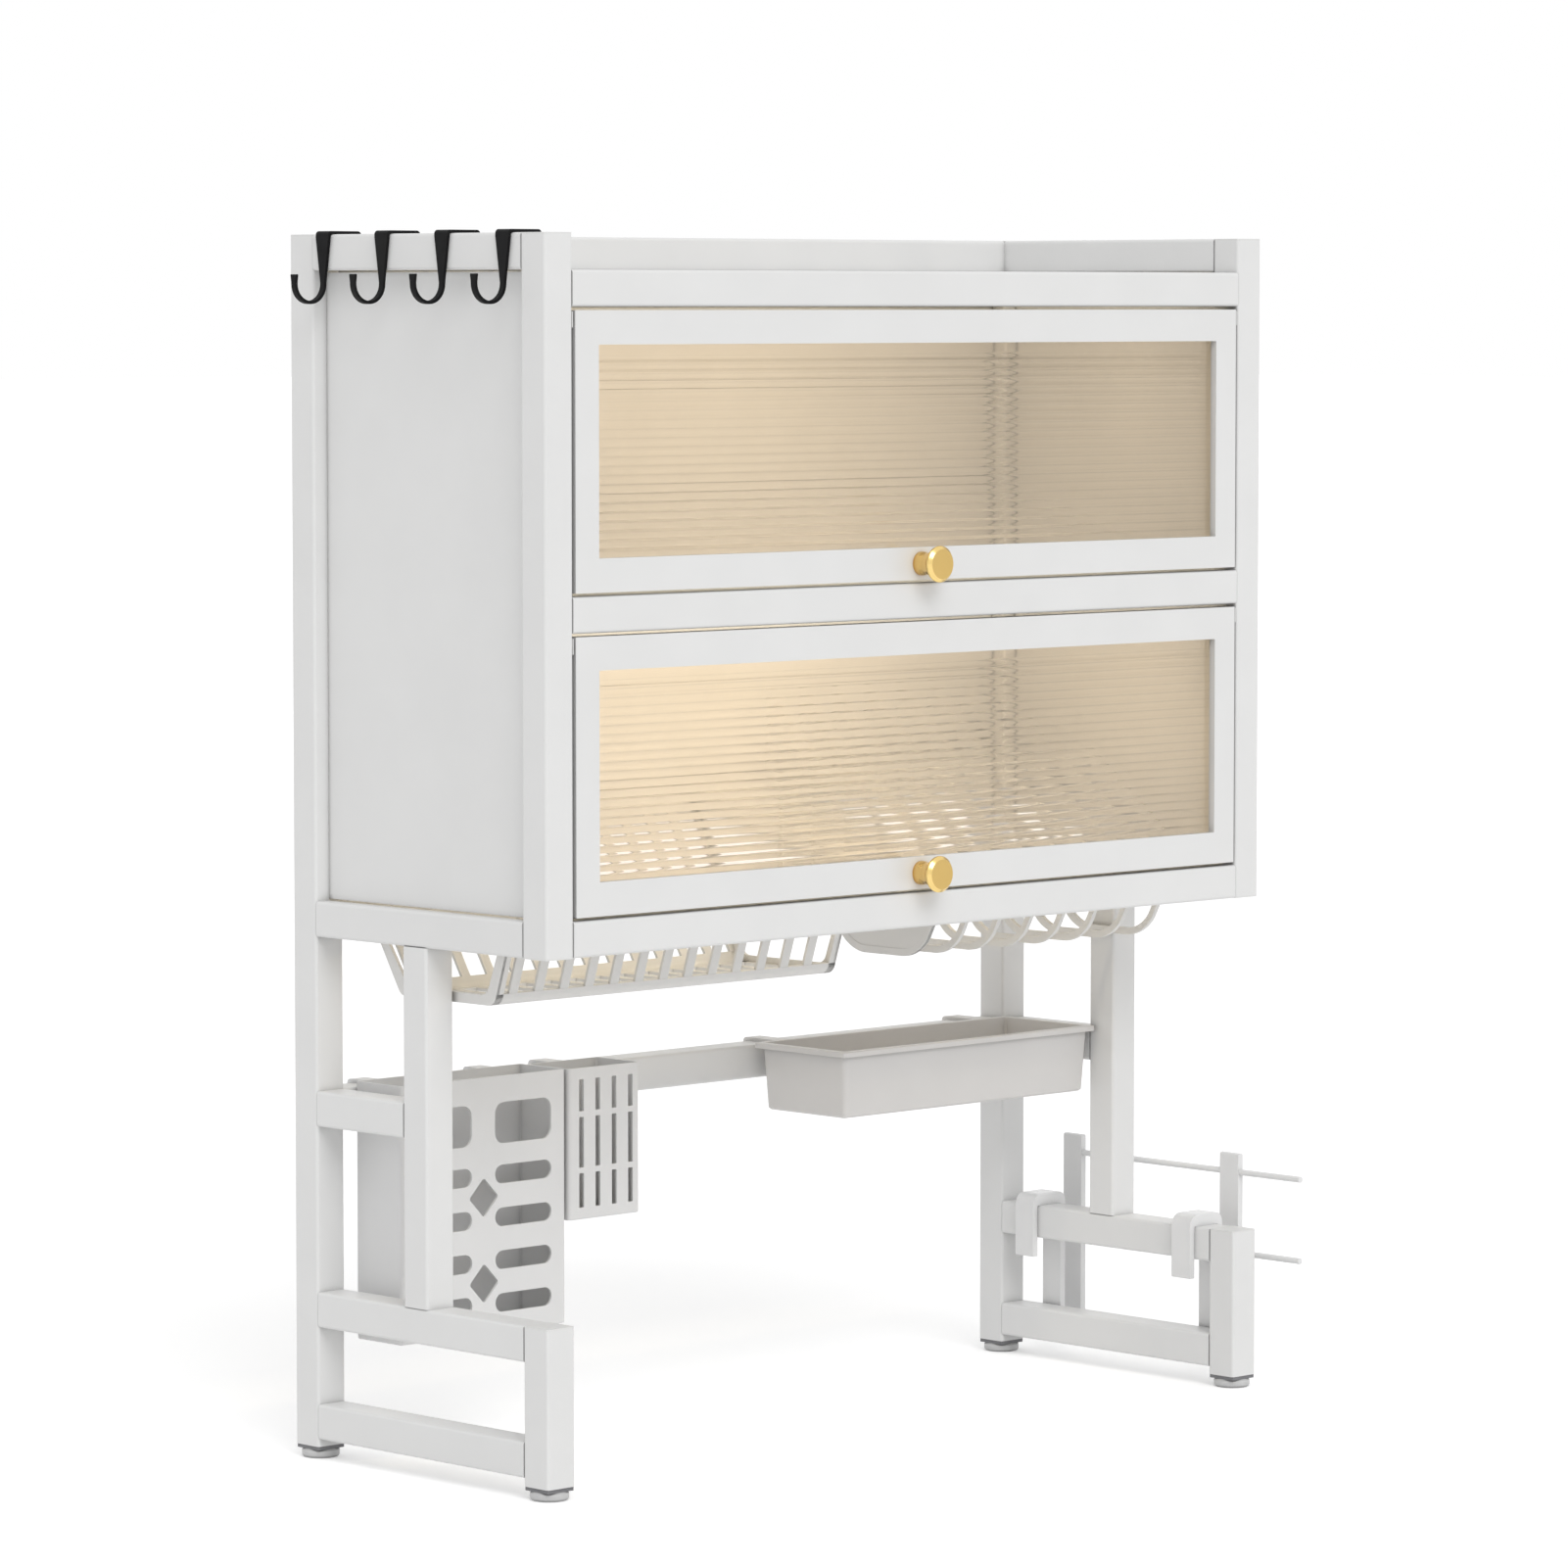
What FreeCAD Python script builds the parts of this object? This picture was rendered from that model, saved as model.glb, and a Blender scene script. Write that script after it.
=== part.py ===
import FreeCAD, Part
import math
import os
import Sketcher
from FreeCAD import Rotation, Vector

# Three-tier dish rack with two flip-up doors, open legs that stand over a sink, two drainer
# baskets, a knife box, a chopstick basket, a sponge tray, a board holder and four hooks.
# Millimetres. Formulas below count from the left tube face (x), the door front (y) and the floor (z).
# The model's own origin lies on the floor, in the middle of everything: see origin_x and origin_y.

doc = FreeCAD.newDocument("dish_rack")
pieces = []

# Driving sizes
SIZES = {
    # whole rack
    "overall_width": 800,
    "overall_depth": 298,
    "overall_height": 962,
    "tube": 28,
    "tube_wall": 1,
    "tube_bevel": 1.6,
    "sheet": 1,
    "touch_gap": 0.3,
    # heights of the rails' undersides
    "guard_gap": 0,
    "middle_rail_height": 659.5,
    "bottom_rail_height": 413.5,
    "crossbar_height": 264,
    "foot_rail_height": 105,
    "foot_bar_height": 16,
    "post_foot_gap": 10,
    "mid_post_from_front": 139,
    # panels and shelves
    "side_panel_inset": 13.5,
    "side_panel_gap": 1.5,
    "panel_thickness": 1,
    "back_panel_from_rear": 14.5,
    "shelf_fold": 18,
    "shelf_slot_width": 8,
    "shelf_slot_pitch": 62,
    "shelf_slot_margin": 30,
    # doors
    "door_thickness": 14,
    "door_gap": 2.5,
    "door_stile": 24,
    "door_rail": 26,
    "door_edge_bevel": 2,
    "pane_thickness": 4,
    "pane_inset": 6,
    "pane_overlap": 6,
    "pane_clearance": 0.3,
    "flute_pitch": 7,
    "flute_land": 0.6,
    "flute_depth": 0.7,
    "pin_radius": 2,
    "pin_below_top": 7,
    "pin_in_door": 14,
    "pin_in_bush": 8,
    "pin_clearance": 0.05,
    "bush_side": 8,
    "bush_flange_side": 12,
    "bush_flange": 1,
    "bush_length": 10,
    "knob_radius": 14.5,
    "knob_head": 8,
    "knob_reach": 24,
    "knob_neck_radius": 6.5,
    "knob_above_bottom": 13,
    "screw_radius": 2,
    "screw_head_radius": 4,
    "screw_head": 2.5,
    "screw_reach": 10,
    "catch_above_bottom": 96,
    "catch_width": 12,
    "catch_depth": 11,
    "catch_height": 40,
    # feet
    "pad_radius": 15,
    "pad_height": 7,
    "foot_sides": 24,
    "stud_radius": 4,
    "stud_length": 24,
    "stud_clearance": 0.06,
    "insert_step": 2,
    "insert_depth": 20,
    "plug_clearance": 0.2,
    # plate basket
    "basket_wall": 3,
    "basket_flange": 2.5,
    "basket_side_gap": 2.5,
    "basket_front": 18.5,
    "basket_rear_gap": 19,
    "basket_middle_gap": 9,
    "profile_depth": 298,
    "plate_trough_front": 72,
    "plate_trough_rear": 248,
    "plate_floor_front": 95,
    "plate_floor_rear": 204,
    "plate_trough_depth": 71.5,
    "plate_floor_bevel": 6,
    "plate_slat": 8.8,
    "plate_pitch": 26.3,
    "plate_least_cell": 5,
    "plate_end_cell": 19,
    "plate_rail": 9,
    "end_band": 8,
    "cut_over": 10,
    # bowl basket
    "bowl_flat": 90,
    "bowl_window_margin": 4,
    "bowl_window_end": 1,
    "rib_pitch": 38.4,
    "rib_thickness": 4,
    "rib_depth": 12,
    "bowl_trough_front": 62,
    "bowl_trough_rear": 236,
    "bowl_trough_depth": 66,
    "bowl_floor_front": 97,
    "bowl_floor_rear": 176,
    "bowl_floor_round": 34,
    "bowl_wave_round": 12,
    "wave_rear_height": 82,
    "wave_valley_height": 32,
    "wave_crest_height": 49,
    "wave_front_height": 23,
    "wave_rear_from_front": 266,
    "wave_valley_from_front": 195,
    "wave_crest_from_front": 156,
    "wave_front_from_front": 100,
    "rib_wall_share": 0.3,
    "rib_floor_share": 0.6,
    "rib_front_share": 0.9,
    "rib_wave_share": 1.2,
    "rib_peak_share": 1.5,
    "stringer": 4,
    "stringer_below_wave": 9,
    # hanging accessories on the rear crossbar
    "clip_thickness": 3,
    "clip_drop": 20,
    "clip_width": 16,
    "clip_gap": 0.3,
    "clip_lap": 6,
    "clip_bend": 2.5,
    "clip_from_end": 18,
    "box_wall": 2,
    "knife_box_from_side": 39.5,
    "knife_box_width": 174,
    "knife_box_depth": 53.7,
    "knife_box_height": 205,
    "knife_box_rise": 5,
    "box_bevel": 2.5,
    "window_width": 60,
    "window_height": 33,
    "window_drop": 37.5,
    "hole_bevel": 4.5,
    "pill_height": 15,
    "pill_pitch": 34.3,
    "pill_top_drop": 78.5,
    "pill_rows": 4,
    "left_window_middle": 44.5,
    "right_window_middle": 129,
    "diamond_width": 31,
    "diamond_height": 32,
    "diamond_middle": 87,
    "chopstick_from_side": 219,
    "chopstick_width": 78,
    "chopstick_depth": 51.7,
    "chopstick_height": 122.5,
    "chopstick_rise": 4,
    "grille_slot": 5.2,
    "grille_pitch": 17.8,
    "grille_first": 14,
    "grille_columns": 4,
    "grille_margin": 9,
    "grille_rail": 4.5,
    "grille_top_slot": 26,
    "grille_middle_slot": 41,
    "grille_low_slot": 28,
    "tray_side_gap": 3,
    "tray_width": 301,
    "tray_gap": 5.7,
    "tray_depth": 108,
    "tray_height": 56,
    "tray_lip": 5,
    "tray_taper": 3,
    "tray_bevel": 5,
    "tray_clip_from_end": 24,
    # board holder on the right foot rail
    "holder_strap": 21,
    "holder_thickness": 5.7,
    "holder_arch": 10,
    "holder_inner_leg": 54,
    "holder_bottom": 25,
    "holder_slot": 20,
    "holder_outer_height": 190,
    "holder_front_strap": 44,
    "holder_rear_gap": 71,
    "holder_rod_radius": 2.6,
    "holder_rod_low": 105,
    "holder_rod_high": 174,
    "holder_rod_front": 24,
    "holder_bend": 7,
    # utensil hooks on the left top rail
    "hook_width": 15,
    "hook_thickness": 2.5,
    "hook_lip": 14,
    "hook_drop": 56.5,
    "hook_mouth": 26.7,
    "hook_tip_height": 23,
    "hook_tip_width": 7,
    "hook_bend_relief": 0.1,
    "hook_slope": 22,
    "hook_front_place": 45.4,
    "hook_last_gap": 42.6,
    "hook_steps": 3,
    # end caps
    "cap_plate": 1.5,
    "cap_plug": 10,
}

# Heights and places worked out from the driving sizes
PLACES = {
    "origin_x": "sizes.overall_width / 2",
    "origin_y": "(sizes.overall_depth + sizes.clip_gap + sizes.clip_thickness - sizes.knob_reach) / 2",
    "right_x": "sizes.overall_width - sizes.tube",
    "rear_y": "sizes.overall_depth - sizes.tube",
    "inner_width": "sizes.overall_width - 2 * sizes.tube",
    "inner_depth": "sizes.overall_depth - 2 * sizes.tube",
    "guard_z": "sizes.overall_height - sizes.tube",
    "deck_z": "guard_z - sizes.guard_gap",
    "top_rail_z": "deck_z - sizes.tube",
    "middle_deck_z": "sizes.middle_rail_height + sizes.tube",
    "bottom_deck_z": "sizes.bottom_rail_height + sizes.tube",
    "foot_top_z": "sizes.foot_rail_height + sizes.tube",
    "crossbar_top_z": "sizes.crossbar_height + sizes.tube",
    "door_width": "inner_width - 2 * sizes.door_gap",
    "upper_door_z": "middle_deck_z + sizes.door_gap",
    "upper_door_height": "top_rail_z - sizes.door_gap - upper_door_z",
    "lower_door_z": "bottom_deck_z + sizes.door_gap",
    "lower_door_height": "sizes.middle_rail_height - sizes.door_gap - lower_door_z",
    "basket_x": "sizes.tube + sizes.basket_side_gap",
    "basket_length": "(sizes.overall_width - sizes.basket_middle_gap) / 2 - basket_x",
    "basket_rear": "sizes.overall_depth - sizes.basket_rear_gap",
    "stretch": "sizes.overall_depth / sizes.profile_depth",
    "plate_cells": "basket_length - 2 * sizes.end_band - sizes.plate_end_cell - sizes.plate_slat",
    "plate_slots": "floor((plate_cells - sizes.plate_least_cell) / sizes.plate_pitch)",
    "plate_first_cell": "plate_cells - plate_slots * sizes.plate_pitch",
    "plate_first_slot": "sizes.end_band + plate_first_cell + sizes.plate_slat",
    "bowl_x": "(sizes.overall_width + sizes.basket_middle_gap) / 2",
    "rib_steps": "floor((basket_length - sizes.bowl_flat - sizes.rib_thickness) / sizes.rib_pitch)",
    "first_rib": "basket_length - sizes.rib_thickness - rib_steps * sizes.rib_pitch",
    "hang_y": "rear_y - sizes.clip_gap",
    "knife_box_front": "hang_y - sizes.knife_box_depth",
    "knife_box_top": "crossbar_top_z + sizes.knife_box_rise",
    "chopstick_front": "hang_y - sizes.chopstick_depth",
    "chopstick_top": "crossbar_top_z + sizes.chopstick_rise",
    "tray_x": "right_x - sizes.tray_side_gap - sizes.tray_width",
    "tray_rear": "hang_y - sizes.tray_gap",
    "tray_top": "crossbar_top_z + sizes.clip_thickness",
    "tray_front": "tray_rear - sizes.tray_depth",
    "holder_rear_strap": "sizes.overall_depth - sizes.holder_rear_gap",
    "hook_room": "sizes.overall_depth - sizes.hook_front_place - sizes.hook_last_gap",
    "hook_pitch": "hook_room / sizes.hook_steps",
    "hook_bend": "sizes.hook_mouth / 2 - sizes.hook_bend_relief",
}


def fill_sheet(name, cells):
    """Put each named value into a row of its own."""
    sheet = doc.addObject("Spreadsheet::Sheet", name)
    for row, (word, value) in enumerate(cells.items(), start=1):
        sheet.set(f"A{row}", word)
        sheet.set(f"B{row}", value if isinstance(value, str) else str(value))
        sheet.setAlias(f"B{row}", word)
    return sheet


sizes = fill_sheet("sizes", SIZES)
places = fill_sheet("places", {word: "=" + formula for word, formula in PLACES.items()})
gauge = doc.addObject("App::FeaturePython", "gauge")
gauge.addProperty("App::PropertyFloat", "reading")
doc.recompute()


def number(formula):
    """The present value of a formula of named sizes."""
    gauge.setExpression("reading", str(formula))
    gauge.recompute()
    return gauge.reading


def piece(name, x, y, z, turn=None):
    """A new body whose own origin stands at the given place of the rack."""
    body = doc.addObject("PartDesign::Body", name)
    body.Label = name
    if turn:
        body.Placement.Rotation = turn
    body.setExpression("Placement.Base.x", f"{x} - places.origin_x")
    body.setExpression("Placement.Base.y", f"{y} - places.origin_y")
    body.setExpression("Placement.Base.z", str(z))
    pieces.append(body)
    return body


def sketch_on(body, plane, offset=None):
    """An empty sketch on one of the body's own origin planes, raised by a formula."""
    sketch = body.newObject("Sketcher::SketchObject", body.Name + "_sketch")
    support = next(item for item in body.Origin.OriginFeatures if item.Role == plane)
    sketch.AttachmentSupport = [(support, "")]
    sketch.MapMode = "FlatFace"
    if offset is not None:
        sketch.setExpression("AttachmentOffset.Base.z", str(offset))
    return sketch


def bind(sketch, constraint, formula):
    """Add a constraint whose value follows a formula."""
    index = sketch.addConstraint(constraint)
    sketch.setExpression(f"Constraints[{index}]", str(formula))


def outline(sketch, corners):
    """A closed run of straight edges through (x, y, radius) corners; a radius of None stays sharp."""
    points = [Vector(number(x), number(y), 0) for x, y, _ in corners]
    radii = [number(radius) if radius is not None else 0.0 for _, _, radius in corners]
    count = len(corners)
    starts, ends, centres, left_turns = [], [], [], []
    for i in range(count):
        back = (points[i - 1] - points[i]).normalize()
        ahead = (points[(i + 1) % count] - points[i]).normalize()
        half = back.getAngle(ahead) / 2
        ends.append(points[i] + back * (radii[i] / math.tan(half)))
        starts.append(points[i] + ahead * (radii[i] / math.tan(half)))
        centres.append(points[i] + (back + ahead).normalize() * (radii[i] / math.sin(half)))
        left_turns.append(back.cross(ahead).z < 0)
    lines = [
        sketch.addGeometry(Part.LineSegment(starts[i], ends[(i + 1) % count])) for i in range(count)
    ]
    for i in range(count):
        x, y, radius = corners[i]
        coming, going = lines[i - 1], lines[i]
        if radius is None:
            sketch.addConstraint(Sketcher.Constraint("Coincident", coming, 2, going, 1))
            mark = going
        else:
            arc = corner_arc(sketch, starts[i], ends[i], centres[i], radii[i], left_turns[i])
            first, last = (1, 2) if left_turns[i] else (2, 1)
            sketch.addConstraint(Sketcher.Constraint("Tangent", coming, 2, arc, first))
            sketch.addConstraint(Sketcher.Constraint("Tangent", arc, last, going, 1))
            bind(sketch, Sketcher.Constraint("Radius", arc, radii[i]), radius)
            mark = sketch.addGeometry(Part.Point(points[i]), True)
            sketch.addConstraint(Sketcher.Constraint("PointOnObject", mark, 1, coming))
            sketch.addConstraint(Sketcher.Constraint("PointOnObject", mark, 1, going))
        bind(sketch, Sketcher.Constraint("DistanceX", -1, 1, mark, 1, points[i].x), x)
        bind(sketch, Sketcher.Constraint("DistanceY", -1, 1, mark, 1, points[i].y), y)


def corner_arc(sketch, start, end, centre, radius, left_turn):
    """The arc that rounds one corner of an outline."""
    first, last = (end, start) if left_turn else (start, end)
    angles = [math.atan2(point.y - centre.y, point.x - centre.x) for point in (first, last)]
    circle = Part.Circle(centre, Vector(0, 0, 1), radius)
    return sketch.addGeometry(Part.ArcOfCircle(circle, *angles))


def rectangle(sketch, x0, y0, x1, y1, radius=None):
    outline(sketch, [(x0, y0, radius), (x1, y0, radius), (x1, y1, radius), (x0, y1, radius)])


def bevelled(sketch, x0, y0, x1, y1, bevel):
    """A rectangle with its four corners cut off."""
    outline(
        sketch,
        [
            (f"{x0} + {bevel}", y0, None),
            (f"{x1} - {bevel}", y0, None),
            (x1, f"{y0} + {bevel}", None),
            (x1, f"{y1} - {bevel}", None),
            (f"{x1} - {bevel}", y1, None),
            (f"{x0} + {bevel}", y1, None),
            (x0, f"{y1} - {bevel}", None),
            (x0, f"{y0} + {bevel}", None),
        ],
    )


def square(sketch, x, y, side):
    """A square round a middle."""
    half = f"{side} / 2"
    rectangle(sketch, f"{x} - {half}", f"{y} - {half}", f"{x} + {half}", f"{y} + {half}")


def circle(sketch, x, y, radius):
    """A hole or a round boss, its middle and radius bound to formulas."""
    middle = Vector(number(x), number(y), 0)
    ring = sketch.addGeometry(Part.Circle(middle, Vector(0, 0, 1), number(radius)))
    bind(sketch, Sketcher.Constraint("Radius", ring, number(radius)), radius)
    bind(sketch, Sketcher.Constraint("DistanceX", -1, 1, ring, 3, middle.x), x)
    bind(sketch, Sketcher.Constraint("DistanceY", -1, 1, ring, 3, middle.y), y)


def pad(body, sketch, length, reverse=False):
    feature = body.newObject("PartDesign::Pad", body.Name + "_pad")
    feature.Profile = sketch
    feature.setExpression("Length", str(length))
    feature.Reversed = reverse
    sketch.Visibility = False
    doc.recompute()
    return feature


def pocket(body, sketch, length, reverse=False):
    """Cut a sketch into the body and make sure that it took material away."""
    before = body.Shape.Volume
    feature = body.newObject("PartDesign::Pocket", body.Name + "_pocket")
    feature.Profile = sketch
    feature.setExpression("Length", str(length))
    feature.Reversed = reverse
    doc.recompute()
    if body.Shape.Volume > before - 0.01:
        raise RuntimeError(f"{feature.Name} of {body.Label} cuts nothing")
    return feature


def repeat(body, feature, sketch, axis, pitch, count, backwards=False):
    """Repeat a feature along an axis of its sketch."""
    row = body.newObject("PartDesign::LinearPattern", body.Name + "_row")
    row.Originals = [feature]
    row.Direction = (sketch, [axis])
    row.Mode = "Spacing"
    row.Reversed = backwards
    row.setExpression("Offset", str(pitch))
    row.setExpression("Occurrences", str(count))
    body.Tip = row
    doc.recompute()
    return row


def edges_where(body, test):
    """Names of the straight or round edges that pass a test of their middle and direction."""
    names = []
    for i, edge in enumerate(body.Tip.Shape.Edges, start=1):
        middle = edge.valueAt((edge.FirstParameter + edge.LastParameter) / 2)
        along = edge.tangentAt((edge.FirstParameter + edge.LastParameter) / 2)
        if test(edge, middle, along):
            names.append(f"Edge{i}")
    return names


def bevel_edges(body, names, size):
    base = body.Tip
    feature = body.newObject("PartDesign::Chamfer", body.Name + "_bevel")
    feature.Base = (base, names)
    feature.setExpression("Size", str(size))
    doc.recompute()
    return feature


def hollow(body, wall, open_face):
    """Turn the body into a shell that is open on the face that passes the test."""
    base = body.Tip
    faces = [f"Face{i}" for i, face in enumerate(base.Shape.Faces, start=1) if open_face(face)]
    feature = body.newObject("PartDesign::Thickness", body.Name + "_hollow")
    feature.Base = (base, faces)
    feature.setExpression("Value", str(wall))
    feature.Reversed = True
    feature.Join = "Intersection"
    doc.recompute()
    return feature


# Square tubes of the welded side frames and the rails between them

TUBE_PLANES = {"X": ("YZ_Plane", False), "Y": ("XZ_Plane", True), "Z": ("XY_Plane", False)}


def tube(name, axis, x, y, z, length):
    """A hollow square tube that runs along an axis from its lowest corner."""
    plane, reverse = TUBE_PLANES[axis]
    body = piece(name, x, y, z)
    section = sketch_on(body, plane)
    bevelled(section, "0", "0", "sizes.tube", "sizes.tube", "sizes.tube_bevel")
    far = "sizes.tube - sizes.tube_wall"
    rectangle(section, "sizes.tube_wall", "sizes.tube_wall", far, far)
    pad(body, section, length, reverse)
    return body


def front_upright(name, x, hole_from_wall):
    """A front upright, with a hole in its inner wall for each door's hinge bush."""
    start = "sizes.bottom_rail_height + sizes.cap_plate"
    height = f"sizes.overall_height - sizes.cap_plate - ({start})"
    body = tube(name, "Z", x, "0", start, height)
    for door in ("upper", "lower"):
        hole = sketch_on(body, "YZ_Plane", hole_from_wall)
        level = f"places.{door}_door_z + places.{door}_door_height - sizes.pin_below_top"
        square(hole, "sizes.door_thickness / 2", f"{level} - ({start})", "sizes.bush_side")
        pocket(body, hole, "sizes.tube_wall", reverse=True)
    return body


def side_frame(side, x, hole_from_wall):
    """Nine tubes: two uprights, three rails, the short mid post with its bar, and the foot."""
    front_upright(f"{side}_front_upright", x, hole_from_wall)
    upright = "sizes.overall_height - sizes.cap_plate - sizes.post_foot_gap"
    tube(f"{side}_rear_upright", "Z", x, "places.rear_y", "sizes.post_foot_gap", upright)
    for rail, z in (
        ("top_side_rail", "places.guard_z"),
        ("cabinet_side_rail", "sizes.bottom_rail_height"),
        ("foot_upper_rail", "sizes.foot_rail_height"),
        ("foot_lower_bar", "sizes.foot_bar_height"),
    ):
        tube(f"{side}_{rail}", "Y", x, "sizes.tube", z, "places.inner_depth")
    post = "sizes.bottom_rail_height - places.foot_top_z"
    tube(f"{side}_mid_post", "Z", x, "sizes.mid_post_from_front", "places.foot_top_z", post)
    bar_start = "sizes.mid_post_from_front + sizes.tube"
    bar = f"places.rear_y - ({bar_start})"
    tube(f"{side}_crossbar", "Y", x, bar_start, "sizes.crossbar_height", bar)
    foot_post = "places.foot_top_z - sizes.cap_plate - sizes.post_foot_gap"
    tube(f"{side}_foot_post", "Z", x, "0", "sizes.post_foot_gap", foot_post)


def cross_rails():
    """The rails that run from one side frame to the other."""
    for name, y, z in (
        ("top_front_rail", "0", "places.top_rail_z"),
        ("middle_front_rail", "0", "sizes.middle_rail_height"),
        ("bottom_front_rail", "0", "sizes.bottom_rail_height"),
        ("guard_rail", "places.rear_y", "places.guard_z"),
        ("top_rear_rail", "places.rear_y", "places.top_rail_z"),
        ("middle_rear_rail", "places.rear_y", "sizes.middle_rail_height"),
        ("bottom_rear_rail", "places.rear_y", "sizes.bottom_rail_height"),
        ("leg_crossbar", "places.rear_y", "sizes.crossbar_height"),
    ):
        tube(name, "X", "sizes.tube", y, z, "places.inner_width")


def end_caps():
    """Plastic caps that close the open tube ends; each has a plug inside the tube."""
    body = piece("tube_end_caps", "0", "0", "0")
    ends = [
        ("0", "sizes.overall_height", -1),
        ("places.rear_y", "sizes.overall_height", -1),
        ("0", "places.foot_top_z", -1),
        ("0", "sizes.bottom_rail_height", 1),
    ]
    for y, z, way in ends:
        for x in ("0", "places.right_x"):
            plate = sketch_on(body, "XY_Plane", z)
            bevelled(plate, x, y, f"{x} + sizes.tube", f"{y} + sizes.tube", "sizes.tube_bevel")
            pad(body, plate, "sizes.cap_plate", reverse=way < 0)
            plug = sketch_on(body, "XY_Plane", f"{z} + {way} * sizes.cap_plate")
            inset = "(sizes.tube_wall + sizes.plug_clearance)"
            rectangle(
                plug,
                f"{x} + {inset}",
                f"{y} + {inset}",
                f"{x} + sizes.tube - {inset}",
                f"{y} + sizes.tube - {inset}",
            )
            pad(body, plug, "sizes.cap_plug", reverse=way < 0)


# Panels and shelves

def panel(name, plane, x, y, z, across, up, thickness):
    """A flat sheet that stands on its lowest corner."""
    body = piece(name, x, y, z)
    face = sketch_on(body, plane)
    rectangle(face, "0", "0", across, up)
    pad(body, face, thickness, reverse=plane == "XZ_Plane")
    return body


def panels():
    tall = "places.guard_z - places.bottom_deck_z - 2 * sizes.side_panel_gap"
    foot = "places.bottom_deck_z + sizes.side_panel_gap"
    thick = "sizes.panel_thickness"
    left = "sizes.side_panel_inset"
    right = "sizes.overall_width - sizes.side_panel_inset - sizes.panel_thickness"
    for name, x in (("left_side_panel", left), ("right_side_panel", right)):
        panel(name, "YZ_Plane", x, "sizes.tube", foot, "places.inner_depth", tall, thick)
    rear = "sizes.overall_depth - sizes.back_panel_from_rear"
    wide = "places.inner_width"
    upper = "places.top_rail_z - places.middle_deck_z"
    lower = "sizes.middle_rail_height - places.bottom_deck_z"
    start = "sizes.tube"
    panel("upper_back_panel", "XZ_Plane", start, rear, "places.middle_deck_z", wide, upper, thick)
    panel("lower_back_panel", "XZ_Plane", start, rear, "places.bottom_deck_z", wide, lower, thick)


def shelf(name, z):
    """A sheet flush with the rails' tops, folded down along front and rear, with long slots."""
    body = piece(name, "sizes.tube", "sizes.tube", z)
    section = sketch_on(body, "YZ_Plane")
    depth = "places.inner_depth"
    fold = "-sizes.shelf_fold"
    outline(
        section,
        [
            ("0", fold, None),
            ("sizes.sheet", fold, None),
            ("sizes.sheet", "-sizes.sheet", None),
            (f"{depth} - sizes.sheet", "-sizes.sheet", None),
            (f"{depth} - sizes.sheet", fold, None),
            (depth, fold, None),
            (depth, "0", None),
            ("0", "0", None),
        ],
    )
    pad(body, section, "places.inner_width")
    slots = sketch_on(body, "XY_Plane")
    margin = "sizes.shelf_slot_margin"
    first = f"{margin} + sizes.shelf_slot_width"
    rectangle(slots, margin, margin, first, f"{depth} - {margin}")
    cut = pocket(body, slots, "sizes.sheet")
    pitch = "sizes.shelf_slot_pitch"
    run = f"(places.inner_width - 2 * {margin} - sizes.shelf_slot_width)"
    repeat(body, cut, slots, "H_Axis", pitch, f"floor({run} / {pitch}) + 1")
    return body


# Flip-up doors

def door(level):
    """A framed door with a fluted pane, hung on two pins near its top edge."""
    bottom = f"places.{level}_door_z"
    tall = f"places.{level}_door_height"
    wide = "places.door_width"
    x = "sizes.tube + sizes.door_gap"
    frame = piece(f"{level}_door_frame", x, "0", bottom)
    stile, rail = "sizes.door_stile", "sizes.door_rail"
    face = sketch_on(frame, "XZ_Plane")
    rectangle(face, "0", "0", wide, tall)
    rectangle(face, stile, rail, f"{wide} - {stile}", f"{tall} - {rail}")
    pad(frame, face, "sizes.door_thickness", reverse=True)
    high = number(tall)
    top_edges = edges_where(
        frame, lambda edge, mid, along: abs(along.x) > 0.99 and abs(mid.z - high) < 0.01
    )
    bevel_edges(frame, top_edges, "sizes.door_edge_bevel")
    seat = sketch_on(frame, "XZ_Plane", "-sizes.pane_inset")
    over = "sizes.pane_overlap"
    rectangle(
        seat,
        f"{stile} - {over}",
        f"{rail} - {over}",
        f"{wide} - {stile} + {over}",
        f"{tall} - {rail} + {over}",
    )
    pocket(frame, seat, "sizes.door_thickness")
    hinge = f"{tall} - sizes.pin_below_top"
    for plane_at, way in (("0", True), (wide, False)):
        bore = sketch_on(frame, "YZ_Plane", plane_at)
        circle(bore, "sizes.door_thickness / 2", hinge, "sizes.pin_radius")
        pocket(frame, bore, "sizes.pin_in_door", reverse=way)
    knob_x = f"{wide} / 2"
    screw_way = sketch_on(frame, "XZ_Plane")
    circle(screw_way, knob_x, "sizes.knob_above_bottom", "sizes.screw_radius")
    pocket(frame, screw_way, "sizes.door_thickness")
    pane(level, x, bottom, wide, tall)
    pins(level, x, bottom, hinge)
    knob(level, f"{x} + {wide} / 2", f"{bottom} + sizes.knob_above_bottom")


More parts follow.
